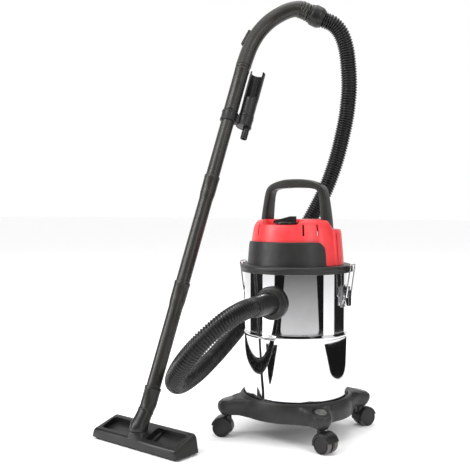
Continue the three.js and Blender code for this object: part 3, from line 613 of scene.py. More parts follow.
def base_shape():
    outline = []
    for quarter in range(4):
        outline += [(turn_z(90 * quarter + 45) @ p.to_3d()).to_2d() for p in quarter_outline()]
    n = len(outline)
    outward = []
    for i in range(n):
        run = (outline[(i + 1) % n] - outline[i - 1]).normalized()
        outward.append(Vector((run.y, -run.x)))
    # Offset in from the outline and height, on the dish and on a lobe.
    dish_rows = [(0, 58), (0, 60), (0.4, 72), (0.9, 82), (2.6, 91), (4.6, 98), (6, 101.2)]
    lobe_rows = [(11, 58), (9.8, 59), (5.5, 66), (0.6, 78), (0, 88), (2.2, 94), (6.5, 96.4)]
    loops = []
    for (in_dish, z_dish), (in_lobe, z_lobe) in zip(dish_rows, lobe_rows):
        loop = []
        for p, side in zip(outline, outward):
            share = smooth_step(152.5, 172, p.length)
            back = in_dish + (in_lobe - in_dish) * share
            fall = LOBE_TAN * (p.length - LOBE_REACH)
            height = z_lobe - (fall if z_lobe > 80 else fall * (z_lobe - 60) / 20 if z_lobe > 60 else 0)
            q = p - side * back
            loop.append(Vector((q.x, q.y, z_dish + (height - z_dish) * share)))
        loops.append(loop)
    rim = [(146, 101.6), (144.9, 104.6), (142.4, 106.8), (140, 107.2), (138.4, 106.6), (136.2, 103.2)]
    edge = loops[-1]
    for step in (0.3, 0.6, 0.85):
        loop = []
        for p in edge:
            ray = Vector((p.x, p.y, 0)).normalized()
            inner = ray * 146.6 + up(101.4)
            level = 97 - LOBE_TAN * (p.xy.length * (1 - step) + 147 * step - LOBE_REACH)
            share = smooth_step(150, 165, p.xy.length)
            q = p.lerp(inner, step)
            level = min(level, 103) * (1 - step**4) + inner.z * step**4
            q.z = q.z * (1 - share) + level * share
            loop.append(q)
        loops.append(loop)
    for radius, z in [*rim, (136.2, 99.65), (60, 99.65), (60, 87), (138, 87), (141, 70), (144, 58)]:
        loops.append([(p.xy.normalized() * radius).to_3d() + up(z) for p in edge])
    return rings(loops)


CASTORS = {
    "front_right": (-45, -15),
    "back_right": (45, 60),
    "back_left": (135, 150),
    "front_left": (-135, -160),
}


def lobe_spot(at):
    return turn_z(at) @ Vector((LOBE_REACH, 0, 0))


base = base_shape()
stem_rooms = [rod(5.35, 50, 78, 32).moved(shift(*lobe_spot(at))) for at, _ in CASTORS.values()]
cap_seats = [
    rod(22.4, 94.4, 130, 64).moved(
        turn_z(at) @ shift(LOBE_REACH - 2, 0, 94.4) @ tip("Y", LOBE_FALL) @ shift(0, 0, -94.4),
    )
    for at, _ in CASTORS.values()
]
floor_disc = lathe([(0, 86.5), (64, 86.5), (64, 99.6), (0, 99.6)], 96)
base = carve(base, [*stem_rooms, *cap_seats], [floor_disc])
piece("castor_base", base, "drum_and_base", MATTE_BLACK, ["base"], sharp=40)

for name, (at, _) in CASTORS.items():
    seat = turn_z(at) @ shift(LOBE_REACH - 2, 0, 94.6) @ tip("Y", LOBE_FALL)
    ring = turned([
        (15.6, -1, 0), (22.1, -1, 0), (22.1, 1.6, 0.9), (19, 3.2, 1.4), (16, 3.2, 0.6),
        (15.6, 1.5, 0),
    ], 72)
    dome = [Vector((0, -1)), Vector((15.3, -1)), Vector((15.3, 2.6))]
    dome += [Vector((15 * math.cos(a), 2.8 + 2.0 * math.sin(a))) for a in (0.25, 0.5, 0.8, 1.1, 1.35)]
    dome += [Vector((0, 4.9))]
    piece("lobe_ring_" + name, ring.moved(seat), "drum_and_base", SOFT_BLACK)
    piece("lobe_cap_" + name, lathe(dome, 72).moved(seat), "drum_and_base", CAP_GREY, sharp=60)

# ---- castors ----


def hood_shape():
    """The fender over a pair of wheels, with the boss it swivels on. The axle is at the origin."""
    half = 21.0
    roof = turned([
        (14, -half, 0), (26.2, -half, 4), (28.2, -half + 5, 6), (28.4, half - 5, 6), (26.2, half, 4),
        (14, half, 0),
    ], 96, 5).laid()
    # What is left of the fender: the part above a line that dips behind the wheels.
    below = [(-60, -9), (-12, -5), (0, -12), (14, 6.5), (60, 10), (60, -60), (-60, -60)]
    under_core = [(-60, -14), (60, -14), (60, -60), (-60, -60)]
    arch = [(-17, -40), (17, -40), (19, 2), (12, 15), (-8, 19), (-19, 8)]
    rooms = [rod(25.8, low, high, 72).laid() for low, high in ((3.9, 19.2), (-19.2, -3.9))]
    arches = [prism(arch, low, high).laid() for low, high in ((18, 40), (-40, -18))]
    core = rod(25.9, -3.95, 3.95, 72).laid()
    roof = carve(roof, [side_view(below, 40)])
    core = carve(core, [side_view(under_core, 40)])
    shell = carve(roof, [*rooms, *arches])
    boss = turned([(0, 14, 0), (11.5, 14, 0), (10, 26, 3), (10, 31.8, 1.2), (0, 31.8, 0)], 48)
    boss = boss.moved(shift(-CASTOR_TRAIL, 0, 0))
    axle_room = rod(3.3, -40, 40, 32).laid()
    stem_room = rod(5.3, 22.6, 60, 32).moved(shift(-CASTOR_TRAIL, 0, 0))
    return carve(shell, [axle_room, stem_room], [core, boss])


def wheel_shape():
    """The moulded centre of a wheel, standing on z = 0 with its outer face at the top."""
    return turned([
        (3.3, 0, 0.3), (22.2, 0, 0.5), (22.2, 15.2, 0.5), (20.9, 16, 0.8), (20.1, 15.9, 0.4),
        (19.6, 14.6, 0.4), (18.8, 14.6, 0.4), (18.2, 15.9, 0.5), (0, 16.4, 0), (0, 14.2, 0),
        (3.3, 14.2, 0.3),
    ], 72)


def tyre_shape():
    return turned([
        (21.9, 0.6, 0.3), (WHEEL_R - 0.4, 0.6, 1), (WHEEL_R, 4, 2), (WHEEL_R, 12, 2),
        (WHEEL_R - 0.8, 15, 1.2), (21.9, 15.3, 0.3),
    ], 72)


hood = hood_shape()
for name, (at, trail) in CASTORS.items():
    spot = shift(*lobe_spot(at)) @ turn_z(trail)
    axle_spot = spot @ shift(CASTOR_TRAIL, 0, WHEEL_R)
    piece(
        "castor_hood_" + name, hood.moved(axle_spot), "swivel_" + name, SOFT_BLACK, ["hood_" + name],
        bevel=0.5,
    )
    stem = turned([
        (0, 47, 0), (5, 47, 0.6), (5, 54, 0), (8.6, 55.9, 0.6), (8.6, 57.9, 0.6), (5, 57.9, 0),
        (5, 77, 1), (0, 77, 0),
    ], 48, 3)
    piece("castor_stem_" + name, stem.moved(spot), "drum_and_base", CHROME, ["stem_" + name])
    axle = turned([
        (0, -18, 0), (2.4, -18, 0.6), (3, -17.2, 0.6), (3, 17.2, 0.6), (2.4, 18, 0.6), (0, 18, 0),
    ], 32, 3)
    piece(
        "castor_axle_" + name, axle.moved(axle_spot @ tip("X", 90)), "swivel_" + name, CHROME,
        ["axle_" + name],
    )
    for wheel, way in (("a", 90), ("b", -90)):
        stand = axle_spot @ tip("X", way) @ shift(0, 0, 4.2)
        key = f"wheel_{wheel}_{name}"
        piece(key + "_centre", wheel_shape().moved(stand), key, WHEEL_BLACK, [key])
        piece(key + "_tread", tyre_shape().moved(stand), key, TREAD)

# ---- hose inlet ----


def against_drum(p):
    """Moves a point of the inlet's frame out to the drum's surface if it lies inside."""
    reach = DRUM_R + 1.5
    surface = math.sqrt(max(reach**2 - p.x**2, 0))
    return Vector((p.x, p.y, max(p.z, surface)))


flange = turned([
    (20, 108, 0), (24.2, 108, 0), (24.2, 126, 0), (30, 128, 0), (36, 128, 0), (42.5, 128, 0),
    (42.5, 143, 2.2), (40.2, 147.2, 2), (34, 149.4, 2), (32.4, 156, 1), (31, 158, 1),
    (27.4, 158, 0.8), (27.4, 147, 0.6), (20, 147, 0.6),
], 144, 5)
neck_part = Shape([p if p.xy.length < 24.6 else against_drum(p) for p in flange.points], flange.faces)
piece("hose_inlet_flange", neck_part.moved(INLET), "drum_and_base", SOFT_BLACK, ["inlet_flange"])
keep(RUBBER, "inlet_gasket", "head_gasket")
keep(MATTE_BLACK, "inlet_nut")

# ---- latches ----

LATCH_PIVOT = (144.0, 384.0)
BAIL_LOW = Vector((148.5, 366.0))
BAIL_HIGH = Vector((160.0, 449.0))


def bracket_shape():
    plate = turned([
        (DRUM_R + 0.4, 340, 0), (138.4, 340, 1), (138.4, 396, 1), (DRUM_R + 0.4, 396, 0),
    ], 720, 3)
    plate = carve(plate, within=[box(120, 150, -15, 15, 330, 400)])
    ears = [box(136.6, 148, y, y + 3, 376, 392) for y in (-13.5, 10.5)]
    pin = rod(1.95, -14.6, 14.6, 24).moved(shift(LATCH_PIVOT[0], 0, LATCH_PIVOT[1]) @ tip("X", 90))
    rivet = turned([
        (0, 137.6, 0), (3.4, 137.6, 0), (3.2, 139.3, 0.8), (1.5, 140, 0.8), (0, 140.1, 0),
    ], 24, 3)
    rivets = [rivet.moved(shift(0, 0, z) @ tip("Y", 90)) for z in (347, 358)]
    return carve(plate, joins=[*ears, pin, *rivets])


def lever_shape():
    x, z = LATCH_PIVOT
    outline = rounded([
        (x - 4.2, z + 3.8, 3), (x + 3.6, z + 4.0, 3), (x + 7, z - 1, 2), (x + 8.8, z - 14, 4),
        (x + 8.6, z - 40.6, 1), (x + 7.2, z - 42, 0.6), (x + 2.5, z - 38, 4), (x - 2.6, z - 14, 5),
        (x - 4.2, z - 2, 1),
    ], 4)
    return side_view(outline, 9.5)


def bail_shape():
    half = 15.5
    rise = (BAIL_HIGH - BAIL_LOW).normalized()
    long = (BAIL_HIGH - BAIL_LOW).length
    corners = rounded([(-half, 0, 5), (half, 0, 5), (half, long, 5), (-half, long, 5)], 6)
    line = [Vector((BAIL_LOW.x + rise.x * d, y, BAIL_LOW.y + rise.y * d)) for y, d in corners]
    n = len(line)
    loops = []
    face = Vector((rise.y, 0, -rise.x))
    for i in range(n):
        run = (line[(i + 1) % n] - line[i - 1]).normalized()
        side = run.cross(face)
        loops.append([line[i] + face * q.x + side * q.y for q in circle_section(2.0, 16)])
    return rings(loops)


bracket = bracket_shape()
for side_name, turn in (("right", FLAT), ("left", turn_z(180))):
    piece(
        "latch_plate_" + side_name, bracket.moved(turn), "drum_and_base", CHROME,
        ["latch_bracket_" + side_name], bevel=0.4,
    )
    piece(
        "latch_handle_" + side_name, lever_shape().moved(turn), "lever_" + side_name, CHROME,
        ["latch_lever_" + side_name], bevel=0.7,
    )
    piece(
        "latch_wire_" + side_name, bail_shape().moved(turn), "bail_" + side_name, CHROME,
        ["latch_bail_" + side_name], sharp=80,
    )

# ---- head base and skirt ----

deck_outline = rounded([
    (40, 440, 0.5), (132, 440, 1), (132.8, 436.4, 0.8), (138.2, 436.4, 0.8), (138.2, 427, 0.6),
    (144.4, 427, 0.8), (144.8, 435.6, 0.5), (146.4, 436.4, 0.8), (146.6, 441.2, 1.6),
    (143.4, 446, 3.5), (134, 447, 1.5), (40, 447, 0.5),
], 5)
lug_outline = rounded([
    (140, -10, 0), (155, -10, 1.5), (157, -8, 1.5), (157, 8, 1.5), (155, 10, 1.5), (140, 10, 0),
], 3)
lug_parts = [prism(lug_outline, 431, 445.5).moved(turn_z(a)) for a in (0, 180)]
wire_grooves = [
    rod(2.1, -12, 12, 24).moved(turn_z(a) @ shift(157.4, 0, 446.6) @ tip("X", 90)) for a in (0, 180)
]
deck = carve(lathe(deck_outline, 180), wire_grooves, lug_parts)
piece("head_rim", deck, "head", MATTE_BLACK, ["head_base"], bevel=0.4, sharp=38)

SKIRT_END = 62.5  # how far round from its middle the skirt reaches, in degrees


def skirt_edge(azimuth):
    """How high the skirt stands at this angle from its middle."""
    corner = 12.0
    past = (abs(azimuth) - (SKIRT_END - corner)) / corner
    if past <= 0:
        return SKIRT_TOP
    return SKIRT_TOP - 26 * (1 - math.sqrt(max(1 - min(past, 1) ** 2, 0)))


def skirt_radius(z):
    if z < 462:
        return 127.9 - 1.5 * (z - 445) / 17
    return 126.4 - 3.6 * (z - 462) / 45


def skirt_shape():
    loops = []
    angles = [SKIRT_END * (k / 60 - 1) for k in range(121)]
    for azimuth in angles:
        top = skirt_edge(azimuth)
        near_end = min(1, (SKIRT_END - abs(azimuth)) / 0.8)
        ray = Vector((math.sin(math.radians(azimuth)), -math.cos(math.radians(azimuth)), 0))
        heights = [444.6, 450, 456, 462, 470, 480]
        heights = [min(h, top - 4) for h in heights] + [top - 3, top - 1.6, top - 0.5, top]
        insets = [0.0] * 7 + [0.15, 0.8, 2.2]
        loop = []
        for z, inset in zip(heights, insets):
            loop.append(ray * (skirt_radius(z) - inset - 1.2 * (1 - near_end)) + up(z))
        for z in (top, top - 2, 444.6):
            loop.append(ray * (skirt_radius(z) - 5) + up(z))
        loops.append(loop)
    return rings(loops, closed_loops=False)


piece("head_skirt", skirt_shape(), "head", MATTE_BLACK, sharp=45)

# ---- motor cover ----


def profile_at(points, z):
    """Radius at a height on a list of (radius, height), low to high."""
    for (r0, z0), (r1, z1) in zip(points, points[1:]):
        if z <= z1:
            t = (z - z0) / (z1 - z0)
            return r0 + (r1 - r0) * t
    return points[-1][0]


BODY_SIDE = [
    (114.5, 447), (114, 507), (110.4, 536), (107.5, 549), (104.5, 556), (99, 560.6), (92, 562.6),
    (80, 563),
]
FLANK_SIDE = [
    (124.3, 447), (119, 490), (115, 520), (111.5, 540), (107.2, 551), (101.8, 558), (95.6, 561.8),
    (80, 563),
]
REAR_SIDE = [
    (126, 447), (118.8, 530), (117.6, 535), (114.4, 538), (99.5, 538.6), (97.5, 540.4),
    (94.5, 554), (89, 561),
]
HEIGHTS = (COVER_FOOT, 462, 480, 500, 515, 528, 534, 537, 538.6, 541, 546, 551, 555, 558, 560.4, 562)


def cover_radius(azimuth, z):
    """The red cover's radius; azimuth is from +X, so the front is -90."""
    around = (azimuth + 180) % 360 - 180
    from_front = min(abs(around + 90), 360 - abs(around + 90))
    side = smooth_step(56, 63.5, from_front)
    rear = smooth_step(79.5, 82, from_front)
    radius = profile_at(BODY_SIDE, z) * (1 - side) + profile_at(FLANK_SIDE, z) * side
    return radius * (1 - rear) + profile_at(REAR_SIDE, z) * rear


def cover_shell(inset):
    columns = 288
    loops = []
    for i in range(columns):
        azimuth = 360 * i / columns
        ray = ray_at(azimuth)
        loop = []
        for z in HEIGHTS:
            loop.append(ray * (cover_radius(azimuth, z) - inset) + up(z - inset * (z > 450)))
        loop.append(ray * (84 - inset) + up(COVER_TOP - inset))
        loop.append(up(COVER_TOP - inset))
        low = 440 if inset else COVER_FOOT
        loop.append(up(low))
        if inset:
            loop.append(ray * (cover_radius(azimuth, 447) - inset) + up(low))
        loops.append(loop)
    return rings(loops)


# Knots of the carry handle's centre line: distance from the middle and height.
HANDLE_KNOTS = [
    (88, 534), (86.2, 560), (82.5, 596), (77.5, 628), (70, 644), (53, 652), (27, 656.2),
    (0, 657.2),
]
HANDLE_Y = 4.0


def carry_handle_shape(extra=0.0):
    knots = [*[(-x, z) for x, z in HANDLE_KNOTS], *reversed(HANDLE_KNOTS[:-1])]
    line = through([Vector((x, HANDLE_Y, z)) for x, z in knots], 8)
    loops = []
    n = len(line)
    for i, spot in enumerate(line):
        along = (line[min(i + 1, n - 1)] - line[max(i - 1, 0)]).normalized()
        out = Vector((0, 1, 0)).cross(along)
        if out.dot(spot - Vector((0, HANDLE_Y, 560))) < 0:
            out = -out
        # The legs grow wider towards their feet, and the bar thicker towards its middle.
        wide = 19 + 6 * smooth_step(640, 540, spot.z) + extra / 2
        thick = 8 + 3.2 * smooth_step(75, 20, abs(spot.x)) + extra / 2
        outline = rounded([
            (-wide, -thick, 3.5), (wide, -thick, 3.5), (wide, thick, 4.5), (-wide, thick, 4.5),
        ], 5)
        loops.append([spot + Vector((0, q.x, 0)) + out * q.y for q in outline])
    return rings(loops, closed_loops=False)


def cover_shape():
    outside = cover_shell(0)
    inside = cover_shell(3)
    pocket = turned([
        (0, KNOB_SEAT, 0), (36, KNOB_SEAT, 1.5), (36.6, 580, 0), (0, 580, 0),
    ]).moved(shift(0, KNOB_Y, 0))
    low = KNOB_SEAT - 2
    high = COVER_TOP + 3
    valley = prism([(-47, low), (47, low), (60, high), (-60, high)], -KNOB_Y, 150).laid()
    cup = rod(39.5, KNOB_SEAT - 3.2, COVER_TOP - 2, 96).moved(shift(0, KNOB_Y, 0))
    cup = carve(cup, within=[outside])
    floor = carve(box(-64, 64, -112, KNOB_Y + 4, KNOB_SEAT - 5.2, COVER_TOP - 1), within=[outside])
    slots = []
    for azimuth in (-145, -125, -55, -35):
        slots.append(box(92, 118, -2.1, 2.1, 523, 551).moved(turn_z(azimuth)))
    for azimuth in range(-5, 186, 10):
        slots.append(box(108, 140, -1.7, 1.7, 460, 528).moved(turn_z(azimuth)))
    leg_rooms = carry_handle_shape(0.8)
    gland_room = rod(7.3, 90, 150, 48).moved(GLAND)
    spindle_room = rod(6.6, KNOB_SEAT - 12, KNOB_SEAT + 8, 32).moved(shift(0, KNOB_Y, 0))
    hollow = carve(outside, [inside])
    hollow = carve(hollow, joins=[cup, floor])
    return carve(hollow, [pocket, valley, *slots, leg_rooms, gland_room, spindle_room])


piece("motor_cover_red", cover_shape(), "head", RED, ["motor_cover"], bevel=0.7, sharp=38)
piece("carry_handle_bar", carry_handle_shape(), "head", SOFT_BLACK, ["carry_handle"], sharp=50)


def knob_shape():
    seat = KNOB_SEAT + 0.6
    disc = turned([
        (0, seat, 0), (30, seat, 0.6), (29.4, seat + 3.8, 1.4), (26, seat + 4.6, 0.6),
        (0, seat + 5.2, 0),
    ])
    spindle = rod(6, seat - 10, seat + 1, 32)
    outline = [Vector((-33, 3.2)), Vector((-33, -3.2)), *arc(8.2, -94, 94, 14, (18, 0))]
    grip = prism(outline, seat + 2, KNOB_TOP)
    slope = box(-80, 8, -20, 20, 0, 20).moved(shift(10, 0, KNOB_TOP) @ tip("Y", -15))
    grip = carve(grip, [slope])
    return carve(disc, joins=[spindle, grip]).moved(shift(0, KNOB_Y, 0) @ turn_z(KNOB_TURN))


piece("power_knob", knob_shape(), "knob", SOFT_BLACK, ["switch_knob"], bevel=0.9, segments=3)

gland = turned([
    (3.2, 112, 0), (7, 112, 0.5), (7, 127.6, 0), (10.5, 127.6, 0.6), (10.5, 131, 1),
    (7.2, 132.6, 0.5), (6.6, 135, 0.4), (5.9, 135.6, 0.4), (6.3, 138, 0.4), (5.5, 138.6, 0.4),
    (5.9, 141, 0.4), (5.1, 141.6, 0.4), (5.2, 146, 0.8), (3.2, 146, 0.4),
], 48, 3).moved(GLAND)
piece("mains_gland", gland, "head", GLAND_BLACK, ["cord_gland"])

keep(MOTOR_GREY, "fan_housing", "motor", "impeller")
keep(CHROME, "motor_shaft")
keep(MATTE_BLACK, "filter_cage")
keep(SOFT_BLACK, "float")


def pleated_sleeve():
    """The foam sleeve with shallow wrinkles running up it."""
    loops = []
    columns = 180
    for i in range(columns):
        angle = 2 * math.pi * i / columns
        swell = 0.45 * math.sin(angle * 12) + 0.3 * math.sin(angle * 31 + 1.1)
        outline = rounded([
            (56.2, 333.2, 1), (62.2 + swell, 333.2, 2), (62.4 + swell, 431.8, 2), (56.2, 431.8, 1),
        ], 3)
        loops.append([Vector((p.x * math.cos(angle), p.x * math.sin(angle), p.y)) for p in outline])
    return rings(loops)


piece("foam_filter_sleeve", pleated_sleeve(), "head", FOAM, ["filter_sleeve"], sharp=60)

# ---- wand tubes ----


def wand_tube_shape(low, high, sleeve, taper):
    return turned([
        (16, low - 39.8, 0), (17.5, low - 39.8, 0.8), (17.9, low - 1, 0), (18.5, low + 5, 3),
        (18.5, high - sleeve, 4), (20.4, high - sleeve + taper, 4), (20.6, high - 9, 0),
        (21.2, high - 8, 0.5), (21.2, high - 1.2, 1), (20.2, high, 0.8), (18.2, high, 0.5),
        (18.0, high - 41, 0), (16, high - 41, 0),
    ], 64).moved(WAND)


LOWER_JOINT = 278
MIDDLE_JOINT = 582
UPPER_JOINT = 917
CLIP_LOW = 749
CLIP_TOP = 778
for name, low, high, sleeve, taper in (
    ("wand_tube_lower", 0, LOWER_JOINT, 70, 18),
    ("wand_tube_middle", LOWER_JOINT, MIDDLE_JOINT, 70, 18),
    ("wand_tube_upper", MIDDLE_JOINT, UPPER_JOINT, UPPER_JOINT - CLIP_TOP - 1, 4),
):
    shape = wand_tube_shape(low, high, sleeve, taper)
    piece(name + "_shell", shape, "wand", TUBE_GREY, [name], sharp=50)

# ---- clip and two-in-one tool ----

TOOL_OFFSET = 47.0
TOOL_TURN = WAND @ turn_z(54)


def clip_shape():
    def ring(bore, outer, x):
        return turned([
            (bore, CLIP_LOW, 0.5), (outer, CLIP_LOW, 1.2), (outer, CLIP_LOW + 4, 0.4),
            (outer - 0.9, CLIP_LOW + 4.6, 0.4), (outer - 0.9, CLIP_TOP - 4.6, 0.4),
            (outer, CLIP_TOP - 4, 0.4), (outer, CLIP_TOP, 1.2), (bore, CLIP_TOP, 0.5),
        ], 72, 3).moved(shift(x, 0, 0))

    bridge = box(19.6, 27.4, -9, 9, CLIP_LOW + 1.5, CLIP_TOP - 1.5)
    body = carve(ring(18.9, 23.2, 0), joins=[ring(19.35, 22.4, TOOL_OFFSET)])
    return carve(body, joins=[bridge]).moved(TOOL_TURN)


piece("tool_clip", clip_shape(), "wand", SOFT_BLACK, ["accessory_clip"], bevel=0.6)


def tool_shape():
    top = 918
    shell = turned([
        (0, CLIP_LOW + 3.2, 0), (0, CLIP_LOW + 0.5, 0), (18.9, CLIP_LOW + 0.5, 1),
        (19, CLIP_TOP + 0.6, 0), (21.4, CLIP_TOP + 0.6, 0.8), (21.8, CLIP_TOP + 6, 1.5),
        (20.6, CLIP_TOP + 12, 3), (20.8, CLIP_TOP + 50, 4), (21.5, CLIP_TOP + 60, 4),
        (21.5, top + 14, 0), (18.8, top + 14, 0), (18.6, CLIP_TOP + 22, 3), (16, CLIP_TOP + 6, 2),
        (16, CLIP_LOW + 3.2, 0),
    ])
    spigot = turned([
        (7, CLIP_LOW - 33, 0.5), (9.5, CLIP_LOW - 33, 0.8), (9.8, CLIP_LOW + 2, 0),
        (7, CLIP_LOW + 2, 0),
    ], 48, 3).moved(shift(9, 0, 0))
    bore = rod(7, CLIP_LOW - 40, CLIP_LOW + 10, 48).moved(shift(9, 0, 0))
    opening = rounded([
        (-30, top - 84, 6), (9, top - 84, 16), (9, top + 30, 0), (-30, top + 30, 0),
    ], 8)
    window = prism(opening, 5, 40).laid()
    slant = box(-70, 70, -40, 40, 0, 70).moved(shift(0, 0, top + 2) @ tip("Y", -5))
    return carve(shell, [bore, window, slant], [spigot]).moved(TOOL_TURN @ shift(TOOL_OFFSET, 0, 0))


piece("two_in_one_scoop", tool_shape(), "tool", SOFT_BLACK, ["two_in_one_tool"], bevel=0.7)

# ---- handle ----

GRIP_CURVE = [
    (-209.6, 50.3, 925), (-206.5, 69.5, 971), (-202, 89, 1016), (-194, 108, 1059), (-178, 127, 1098),
    (-153, 146, 1130), (-120, 162, 1152), (-93, 176, 1162), (-72, 186.5, 1160), (-54, 195.6, 1150.6),
]
SLIDER_AT = 0.45


def grip_shape():
    line = evenly(through(GRIP_CURVE, 24), 260)
    total = length_of(line)
    step = total / 260

    def radius(i):
        along = i * step
        left = total - along
        r = GRIP_R
        if along < 22:
            r = 21.2 + 0.8 * smooth_step(12, 22, along)
        if left < 46:
            r = GRIP_R + 2.6 * smooth_step(46, 24, left) if left > 24 else GRIP_R + 2.6
        # Three rounded rings with grooves between them where the hose's cuff meets the grip.
        if left < 25:
            phase = (left % 8.3) / 8.3
            groove = max(0, math.cos(2 * math.pi * phase)) ** 2
            r = 25.2 - 2.0 * groove
        if left < 1.2:
            r -= 1.2 - left
        return r

    outside = tube(line, lambda i: circle_section(radius(i), 56))
    inside = tube(line, lambda i: circle_section(17.5, 40))
    ends = [line[0] - (line[1] - line[0]) * 3, line[0], line[-1], line[-1] + (line[-1] - line[-2]) * 3]
    plugs = [tube(pair, lambda i: circle_section(17.5, 40)) for pair in (ends[:2], ends[2:])]
    room = rod(27, UPPER_JOINT - 90, UPPER_JOINT + 8.5, 64).moved(WAND)
    bend = carve(outside, [inside, *plugs, room])
    spigot = turned([
        (16, UPPER_JOINT - 39.8, 0), (17.5, UPPER_JOINT - 39.8, 0.8), (17.9, UPPER_JOINT + 0.2, 0),
        (20.6, UPPER_JOINT + 0.4, 0.6), (21.4, UPPER_JOINT + 3, 1), (21.4, UPPER_JOINT + 8.6, 0.5),
        (19.5, UPPER_JOINT + 8.8, 0), (19.5, UPPER_JOINT + 16, 0), (16, UPPER_JOINT + 16, 0),
    ], 64).moved(WAND)
    return bend.add(spigot)


piece("grip_handle", grip_shape(), "wand", TUBE_GREY, ["handle_tube"], sharp=42)


def slider_shape():
    line = evenly(through(GRIP_CURVE, 24), 100)
    at = round(SLIDER_AT * 100)
    along = (line[at + 1] - line[at - 1]).normalized()
    turning = (line[at + 11] - line[at + 9]) - (line[at - 9] - line[at - 11])
    across = (-turning).cross(along).normalized()
    outward = along.cross(across)
    plate = prism(rounded([(-9, -25, 5), (9, -25, 5), (9, 25, 5), (-9, 25, 5)], 5), 16, 27)
    # Prism lies in x and y; stand it so that y runs along the grip and z outward.
    stand = Matrix((across, -along, outward)).transposed().to_4x4()
    bumps = []
    for spot in (-21, -9):
        bump = turned([(0, -6.5, 0), (2.2, -6.5, 0.9), (2.2, 6.5, 0.9), (0, 6.5, 0)], 24)
        bumps.append(bump.moved(shift(0, spot, 27.4) @ tip("Y", 90)))
    body = carve(plate, [], bumps)
    room = rod(GRIP_R + 0.35, -40, 40, 96).laid()
    return carve(body, [room]).moved(Matrix.Translation(line[at]) @ stand)


piece("suction_slide", slider_shape(), "slider", SOFT_BLACK, ["suction_slider"], bevel=0.6)

# ---- floor nozzle ----

NECK_Y = -17.0
COLLAR_TOP = 44.0
NOZZLE_SLOPE = 18.0  # how far the nozzle's top tips towards its front edge, in degrees


def nozzle_hump():
    """The raised middle that gathers the body into the neck, square below and round above."""
    loops = []
    steps = 10
    for k in range(steps + 1):
        t = k / steps
        half_x = 31 - 7.6 * t
        front = -38.5 - 1.6 * t
        back = 24 - 17.5 * smooth_step(0, 1, t)
        power = 2 / (5 - 3 * t)
        z = 16 + 27.8 * t
        loop = []
        for i in range(64):
            angle = 2 * math.pi * i / 64
            c = math.cos(angle)
            d = math.sin(angle)
            x = half_x * math.copysign(abs(c) ** power, c)
            y = (front + back) / 2 + (back - front) / 2 * math.copysign(abs(d) ** power, d)
            loop.append(Vector((x, y, z + (y - NECK_Y) * 0.3 * (1 - t))))
        loops.append(loop)
    return rings(loops, closed_loops=False)


def nozzle_body_shape():
    # The end view, from the front edge (y = -40) round the bottom, up the back and over the top.
    side = rounded([
        (-40, 5, 1.5), (40, 5, 1.5), (41, 42, 3), (37, 50, 3), (31, 49.5, 2), (-33, 28.7, 2),
        (-38, 25.4, 3), (-40, 18, 3),
    ], 5)
    ends = [(150, 5.0), (149, 2.6), (146.5, 0.8), (143, 0)]
    stations = [(-x, pull) for x, pull in ends]
    stations += [(x, 0) for x in (-120, -60, 0, 60, 120)]
    stations += reversed(ends)
    loops = []
    for x, pull in stations:
        loop = []
        for p in side:
            rise = (p.y - 5) / 45
            # The ends lean in towards the top.
            lean = 1 - 0.06 * rise * smooth_step(100, 150, abs(x))
            loop.append(Vector((x * lean, p.x * (1 - pull / 60), 5 + (p.y - 5) * (1 - pull / 50))))
        loops.append(loop)
    body = rings(loops, closed_loops=False)
    top = shift(0, 0, 39.4) @ tip("X", NOZZLE_SLOPE)
    recesses = []
    for way in (1, -1):
        plan = rounded([(31, -27, 6), (128, -27, 8), (131, 24, 12), (27, 24, 8)], 6)
        if way < 0:
            plan = [Vector((-p.x, p.y)) for p in reversed(plan)]
        recesses.append(prism(plan, -13.4, 40).moved(top))
    ledge = box(38, 46, -24, 22, -16, -8.5).moved(top @ tip("Z", 8))
    mouth = box(-134, 134, -26, 26, 0, 14)
    throat = rod(15, 10, 70, 64).moved(shift(0, NECK_Y, 0))
    grooves = [box(-142, 142, y - 0.3, y + 3.3, 0, 13) for y in (-34, 31)]
    body = carve(body, recesses)
    return carve(body, [mouth, *grooves, throat], [nozzle_hump(), ledge])


nozzle = nozzle_body_shape().moved(NOZZLE)
piece("floor_nozzle", nozzle, "wand", SOFT_BLACK, ["nozzle_body"], bevel=0.9, sharp=38)


def tuft_row():
    """A strip of bristle tufts in a thin backing."""
    strip = box(-141, 141, -33.9, -31.1, 9, 12.6)
    tufts = Shape()
    for k in range(94):
        x = -139.5 + 3 * k
        lean = 0.35 * math.sin(k * 2.3)
        tuft = lathe([(0, 0.2), (1.35, 0.2), (1.2, 9.6), (0, 9.6)], 8)
        leaning = tuft.bent(lambda p, lean=lean: Vector((p.x + lean * (1 - p.z / 9.6), p.y, p.z)))
        tufts.add(leaning.moved(shift(x, -32.5, 0)))
    return strip.add(tufts)


piece("bristle_row", tuft_row().moved(NOZZLE), "wand", BRISTLE, ["brush_strip"])


def squeegee_shape():
    side = rounded([
        (31.1, 12.6, 0), (31.1, 3, 0), (31.9, 0.2, 0.4), (33.1, 0.2, 0.4), (33.9, 3, 0),
        (33.9, 12.6, 0),
    ], 3)
    blade = prism([(p.x, p.y) for p in side], -141, 141)
    return blade.moved(Matrix(((0, 0, 1, 0), (1, 0, 0, 0), (0, 1, 0, 0), (0, 0, 0, 1))))


piece("squeegee_blade", squeegee_shape().moved(NOZZLE), "wand", RUBBER, ["squeegee_strip"])


